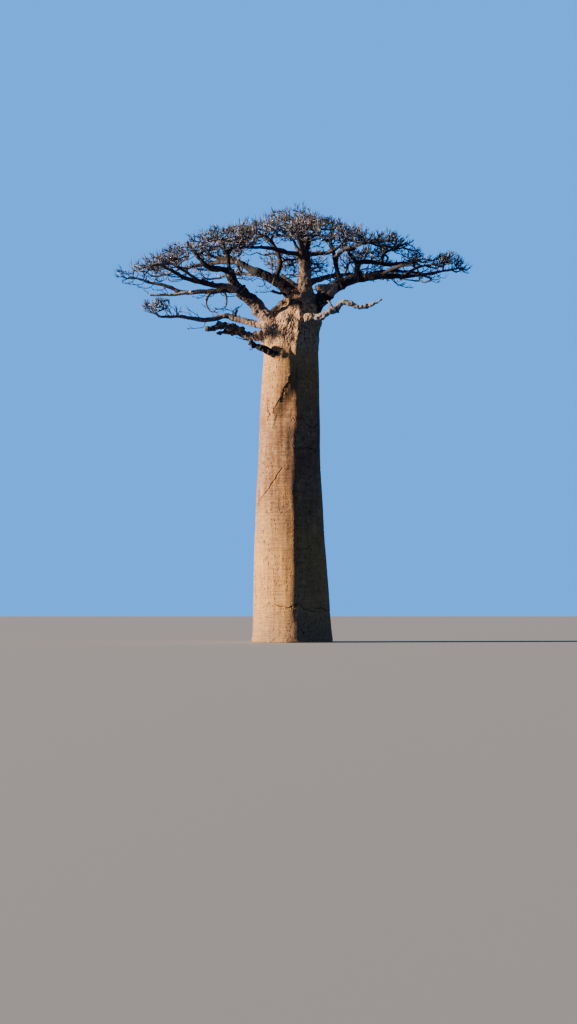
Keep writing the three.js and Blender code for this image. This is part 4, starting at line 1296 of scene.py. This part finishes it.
def goals_in(node, rng):
    """The leaders, the middles and the tips of one mass, in the order of growing."""
    solid = bmesh.new()
    solid.from_mesh(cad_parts[node].data)
    skin = bvhtree.BVHTree.FromBMesh(solid)
    volume = solid.calc_volume()
    solid.free()
    low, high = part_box(node)
    centre = (low + high) / 2

    def depth(place):
        near, normal, _, gap = skin.find_nearest(place)
        return gap if (place - near).dot(normal) < 0 else -gap

    def floor_and_roof(x, y):
        from_below = skin.ray_cast(Vector((x, y, low.z - 1)), Vector((0, 0, 1)))
        from_above = skin.ray_cast(Vector((x, y, high.z + 1)), Vector((0, 0, -1)))
        return from_below[0], from_above[0]

    leaders = []
    first = rng.uniform(0, math.tau)
    for n in range(LEADERS):
        turn = first + (n + rng.uniform(-LEADER_SWING, LEADER_SWING)) * math.tau / LEADERS
        rim = skin.ray_cast(centre, Vector((math.cos(turn), math.sin(turn), 0)))[0]
        if rim is None:
            continue
        spot = centre.lerp(rim, LEADER_REACH * rng.uniform(*LEADER_REACHES))
        floor_under, roof_over = floor_and_roof(spot.x, spot.y)
        if floor_under and roof_over:
            leaders.append(floor_under.lerp(roof_over, LEADER_HEIGHT))
    spacing = CLUSTER_SPACING * min(1, (volume / WHOLE_MASS) ** (1 / 3)) * SPREAD.get(node, 1)
    middles = np.zeros((0, 3))
    for _ in range(round(CLUSTER_TRIES * volume / spacing ** 3)):
        x, y = rng.uniform(low.x, high.x), rng.uniform(low.y, high.y)
        share = rng.random() ** ROOF_CROWDING
        floor_under, roof_over = floor_and_roof(x, y)
        if not (floor_under and roof_over):
            continue
        place = floor_under.lerp(roof_over, share)
        if depth(place) < CLUSTER_DEPTH or noise.noise(place / OPEN_SIZE + OPEN_SHIFT) < OPEN_SHARE:
            continue
        crowded = len(middles) and np.min(np.sum((middles - place) ** 2, axis=1)) < spacing ** 2
        if crowded or in_sky_gap(place):
            continue
        middles = np.vstack([middles, place])
    tips = []
    if node in TUFTS:
        middles = np.vstack([middles, TUFTS[node]])
        for _ in range(TUFT_GOALS):
            tips.append(middles[-1] + any_way(rng) * rng.uniform(*TUFT_SIZES))
    for middle in middles:
        outward = unit((middle - np.array(centre)) * LEVEL) + unit(middle * LEVEL)
        for _ in range(rng.randint(*GOALS_IN_CLUSTER)):
            fan = unit(FAN_OUTWARD * outward + any_way(rng) * FAN_SCATTER + UP * FAN_RISE)
            place = middle + fan * rng.uniform(*FAN)
            if depth(Vector(place)) > -TIP_STANDS_PROUD and not in_sky_gap(place):
                tips.append(place)
    return np.array(leaders), middles, np.array(tips)


# Growth: each goal gets a curved branchlet from the cheapest place of the wood that is already there.
# Long ways to the trunk, sharp turns and hanging down cost more. A branchlet is as thick as the tips that
# it carries make it, down to the radius of a tip.
PATH_WEIGHT = 0.3
DOWN_WEIGHT = 0.9
TURN_WEIGHT = 0.35
LEAVES_ALONG = 0.35  # it follows the way of the wood at first, for this share of its length
ARRIVES_ALONG = 0.3  # and comes in outwards and up
ARRIVES_OUTWARD = 0.6
ARRIVES_UP = 0.8
SWERVE = 0.16  # sideways, as a share of a branchlet's length
BRANCHLET_STEP = 0.2
UNEVEN = 0.035
LEADER_LOAD = 9  # it stays as thick to its end as if it carried this many tips
TIP_RADIUS = 0.0195
ROOT_THINNING = 0.85  # from the bough's end to the thickest branchlet
STEEPEST_POWER = 0.5
FOOT_THICKER = 1.25
THICK_WOOD = 0.05  # radius from which a branchlet has six sides and no side twigs
THIN_WOOD = 0.028  # and up to which it has three
THICK_COLOURS = (0, 1)
TWIGS_AT_TIP = (3, 4)
SIDE_TWIGS = 0.5  # chance of a twig at each step of a thin branchlet
SIDE_AHEAD = 0.4
SIDE_RISE = 0.7
OWN_WOOD_FROM = 0.72  # along a mass's own bough
OTHER_WOOD_NEAR = 0.2  # metres round the mass where other boughs send branchlets too
OTHER_WOOD_UP_TO = 0.3  # if they are thinner than this


def grow(wood, roots, goals, root_radius, rng):
    """Grows branchlets from the roots to the goals, and gives them twigs."""
    places = [np.array(point) for point, _ in roots]
    ways = [np.array(ahead) for _, ahead in roots]
    parents = [-1] * len(places)
    lengths = [0.0] * len(places)
    chains = []
    centre = np.mean(places, axis=0)
    near_first = [group[np.argsort(np.linalg.norm(group - places[-1], axis=1))] for group in goals]
    for goal in np.vstack(near_first):
        spots = np.array(places)
        offset = goal - spots
        distance = np.linalg.norm(offset, axis=1) + 1e-6
        turn = np.sum(offset * np.array(ways), axis=1) / distance
        drop = np.maximum(0, -offset[:, 2]) / distance
        cost = distance * (1 + DOWN_WEIGHT * drop + TURN_WEIGHT * (1 - turn))
        cost += PATH_WEIGHT * np.array(lengths)
        best = int(np.argmin(cost))
        gap = distance[best]
        outward = unit((goal - centre) * LEVEL)
        leaving = places[best] + ways[best] * gap * LEAVES_ALONG
        arriving = goal - unit(ARRIVES_OUTWARD * outward + UP * ARRIVES_UP) * gap * ARRIVES_ALONG
        bend = (leaving + arriving) / 2 + any_way(rng) * SWERVE * gap
        steps = max(2, round(gap / BRANCHLET_STEP))
        chain = [best]
        for step in range(1, steps + 1):
            t = step / steps
            point = (1 - t) ** 2 * places[best] + 2 * t * (1 - t) * bend + t ** 2 * goal
            if step < steps:
                point = point + any_way(rng) * UNEVEN
            places.append(point)
            ways.append(unit(point - places[chain[-1]]))
            lengths.append(lengths[chain[-1]] + np.linalg.norm(point - places[chain[-1]]))
            parents.append(chain[-1])
            chain.append(len(places) - 1)
        chains.append(chain)
    loads = np.zeros(len(places))
    for n, chain in enumerate(chains):
        loads[chain[-1]] += LEADER_LOAD if n < len(goals[0]) else 1
    for i in range(len(places) - 1, -1, -1):
        if parents[i] >= 0:
            loads[parents[i]] += loads[i]
    carried = max(2.0, loads[len(roots):].max())
    thickest = max(1.5, root_radius * ROOT_THINNING / TIP_RADIUS)
    power = min(STEEPEST_POWER, math.log(thickest) / math.log(carried))
    radii = TIP_RADIUS * np.maximum(1, loads) ** power
    for chain in chains:
        thick = radii[chain].copy()
        thick[0] = min(thick[0], thick[1] * FOOT_THICKER)
        sides = 6 if thick[1] > THICK_WOOD else 4 if thick[1] > THIN_WOOD else 3
        colour = any_colour(rng)
        own_colour = colour if sides == 3 else rng.choice(THICK_COLOURS)
        wood.add(np.array([places[i] for i in chain]), thick, sides, own_colour)
        tip = chain[-1]
        add_spray(wood, places[tip], ways[tip], rng, rng.randint(*TWIGS_AT_TIP), colour)
        for i in chain[1:-1]:
            if radii[i] < THICK_WOOD and rng.random() < SIDE_TWIGS:
                sideways = unit(ways[i] * SIDE_AHEAD + any_way(rng) + UP * SIDE_RISE)
                add_spray(wood, places[i], sideways, rng, 1, colour)


masses = sorted(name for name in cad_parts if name.endswith("_twigs"))
for seed, node in enumerate(masses):
    rng = random.Random(100 + seed)
    low, high = (np.array(corner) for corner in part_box(node))
    roots = []
    root_radius = 0
    for name, bough in BOUGHS.items():
        line, radii = lines[name]
        ahead = np.gradient(line, axis=0)
        inside = np.all((line > low - OTHER_WOOD_NEAR) & (line < high + OTHER_WOOD_NEAR), axis=1)
        for i, point in enumerate(line):
            own = bough.get("into") == node and i >= len(line) * OWN_WOOD_FROM
            if own or inside[i] and radii[i] < OTHER_WOOD_UP_TO:
                roots.append((point, unit(ahead[i])))
        if bough.get("into") == node:
            root_radius = max(root_radius, radii[-1])
            roots.append((line[-1], unit(ahead[-1])))
    wood = Wood()
    grow(wood, roots, goals_in(node, rng), root_radius, rng)
    piece = wood.piece(node.replace("_twigs", "_branchlets"))
    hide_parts(node)


# Side shoots: thin limbs that hang, curl or stand between the masses, with a few twigs along them.
# Each leaves its bough at a share of its length.
SHOOTS = (  # bough, share of it, heading, climbs, length, thick
    ("left_low_arm", 0.26, 184, (-62, -80, -128, -176), 1.7, 0.2),
    ("left_low_arm", 0.17, 2, (-50, -84, -112, -168), 1.5, 0.2),
    ("lower_left_bough", 0.33, 8, (100, 76, 40, 20), 0.9, 0.12),
    ("lower_left_bough", 0.5, 4, (112, 60, 12, -14), 1.1, 0.07),
    ("left_low_arm", 0.26, 190, (-80, -20, 0), 0.6, 0.06),
    ("left_low_arm", 0.18, 0, (-78, -20, 0, 4), 1.1, 0.09),
    ("left_low_arm", 0.3, 350, (-70, -30, 10), 0.6, 0.05),
    ("left_low_arm", 0.3, 200, (-60, -25, 5), 0.9, 0.06),
    ("left_low_arm", 0.12, 330, (-60, -20, 0), 0.8, 0.06),
    ("left_low_arm", 0.55, 180, (-40, -5, 10), 0.8, 0.05),
    ("left_low_arm", 0.66, 180, (-40, -15, 5), 0.8, 0.06),
    ("left_low_arm", 0.78, 190, (-50, -15, 5), 0.9, 0.06),
    ("left_low_arm", 0.86, 175, (-40, -5, 10), 0.9, 0.05),
    ("left_low_arm", 0.95, 185, (-50, -25, 0), 0.8, 0.05),
    ("left_middle_arm", 0.6, 180, (-30, -10, 5), 0.9, 0.05),
    ("left_middle_arm", 0.85, 200, (-30, -10, 5), 0.9, 0.05),
    ("left_middle_arm", 0.5, 190, (20, 4, 2, 20, 35), 2.3, 0.1),
    ("left_middle_arm", 0.72, 180, (-20, 0, 15), 1.0, 0.06),
    ("left_arm", 0.72, 190, (-35, -8, 5), 1.4, 0.06),
    ("left_broken_limb", 0.5, 170, (40, 60), 0.5, 0.05),
    ("left_broken_limb", 0.96, 190, (20, 50), 0.3, 0.06),
    ("lower_left_bough", 0.3, 210, (70, 40, 20), 0.8, 0.06),
    ("lower_left_bough", 0.45, 170, (50, 35, 20), 1.1, 0.06),
    ("lower_left_bough", 0.58, 185, (-78, -12, -4), 1.2, 0.06),
    ("lower_left_bough", 0.62, 200, (50, 30, 30), 0.9, 0.05),
    ("lower_left_bough", 0.7, 160, (55, 30, 20), 0.8, 0.05),
    ("dead_left_limb", 0.4, 200, (-70, -30), 0.4, 0.07),
    ("dead_left_limb", 0.3, 210, (-60, -20, 20), 0.6, 0.06),
    ("low_left_stub", 0.85, 215, (-60, -80), 0.35, 0.07),
    ("low_left_stub", 0.95, 190, (50, 10), 0.35, 0.06),
    ("left_bough", 0.97, 345, (-50, -8, 6, -30), 1.5, 0.08),
    ("centre_left_bough", 0.45, 200, (-60, -30, 0), 1.1, 0.06),
    ("centre_left_bough", 0.62, 180, (-50, -10, 5), 1.0, 0.06),
    ("centre_left_bough", 0.2, 182, (-56, -12, 14, -10, 6), 1.7, 0.1),
    ("centre_left_bough", 0.42, 5, (-65, -68, -60), 1.0, 0.09),
    ("centre_left_bough", 0.36, 190, (-60, -80, -30), 0.8, 0.06),
    ("arch_riser", 0.45, 185, (34, -14, 16, -18, 24), 2.3, 0.1),
    ("arch_riser", 0.3, 170, (40, -10, 26), 1.2, 0.06),
    ("right_riser", 0.08, 176, (26, 36, 40), 0.9, 0.13),
    ("centre_column", 0.6, 6, (30, 28, 80), 1.2, 0.1),
    ("centre_column", 0.5, 350, (-14, -6, 10), 0.95, 0.09),
    ("right_bough", 0.2, 170, (80, 100, 110), 1.3, 0.09),
    ("right_bough", 0.42, 350, (-50, -20, 10), 0.5, 0.06),
    ("right_bough", 0.47, 340, (-35, -15, 0), 0.6, 0.05),
    ("right_bough", 0.57, 350, (-50, -30, -15), 1.4, 0.07),
    ("right_bough", 0.6, 350, (-80, -50, -20), 0.8, 0.06),
    ("right_bough", 0.86, 355, (-50, -35, -15), 0.6, 0.05),
    ("back_bough", 0.3, 200, (20, 0, 10), 1.4, 0.08),
    ("back_bough", 0.34, 350, (20, 0, 10), 1.4, 0.08),
    ("back_left_arm", 0.4, 200, (-30, 0, 10), 1.2, 0.06),
    ("back_right_arm", 0.4, 340, (-30, 0, 10), 1.2, 0.06),
)
SHOOT_SIDES = 5
SHOOT_COLOUR = 0
SHOOT_BENDS_FROM = 50  # so that they bend in other ways than the boughs
SHOOT_TWIGS = 3  # at its tip

wood = Wood()
rng = random.Random(77)
for seed, (name, share, heading, climbs, length, thick) in enumerate(SHOOTS):
    line = legs_line(place_on(lines[name][0], share), heading, climbs, length)
    line, radii = crooked(line, np.linspace(thick, TWIG_RADIUS * 2, len(line)) / 2, seed + SHOOT_BENDS_FROM)
    wood.add(line, radii, SHOOT_SIDES, SHOOT_COLOUR)
    ahead = np.gradient(line, axis=0)
    colour = any_colour(rng)
    for i in range(len(line) // 3, len(line)):
        sideways = unit(unit(ahead[i]) * FAN_SCATTER + any_way(rng) * FAN_SCATTER + UP * FAN_RISE)
        count = SHOOT_TWIGS if i == len(line) - 1 else rng.randint(0, 1)
        add_spray(wood, line[i], sideways, rng, count, colour)
wood.piece("side_shoots")
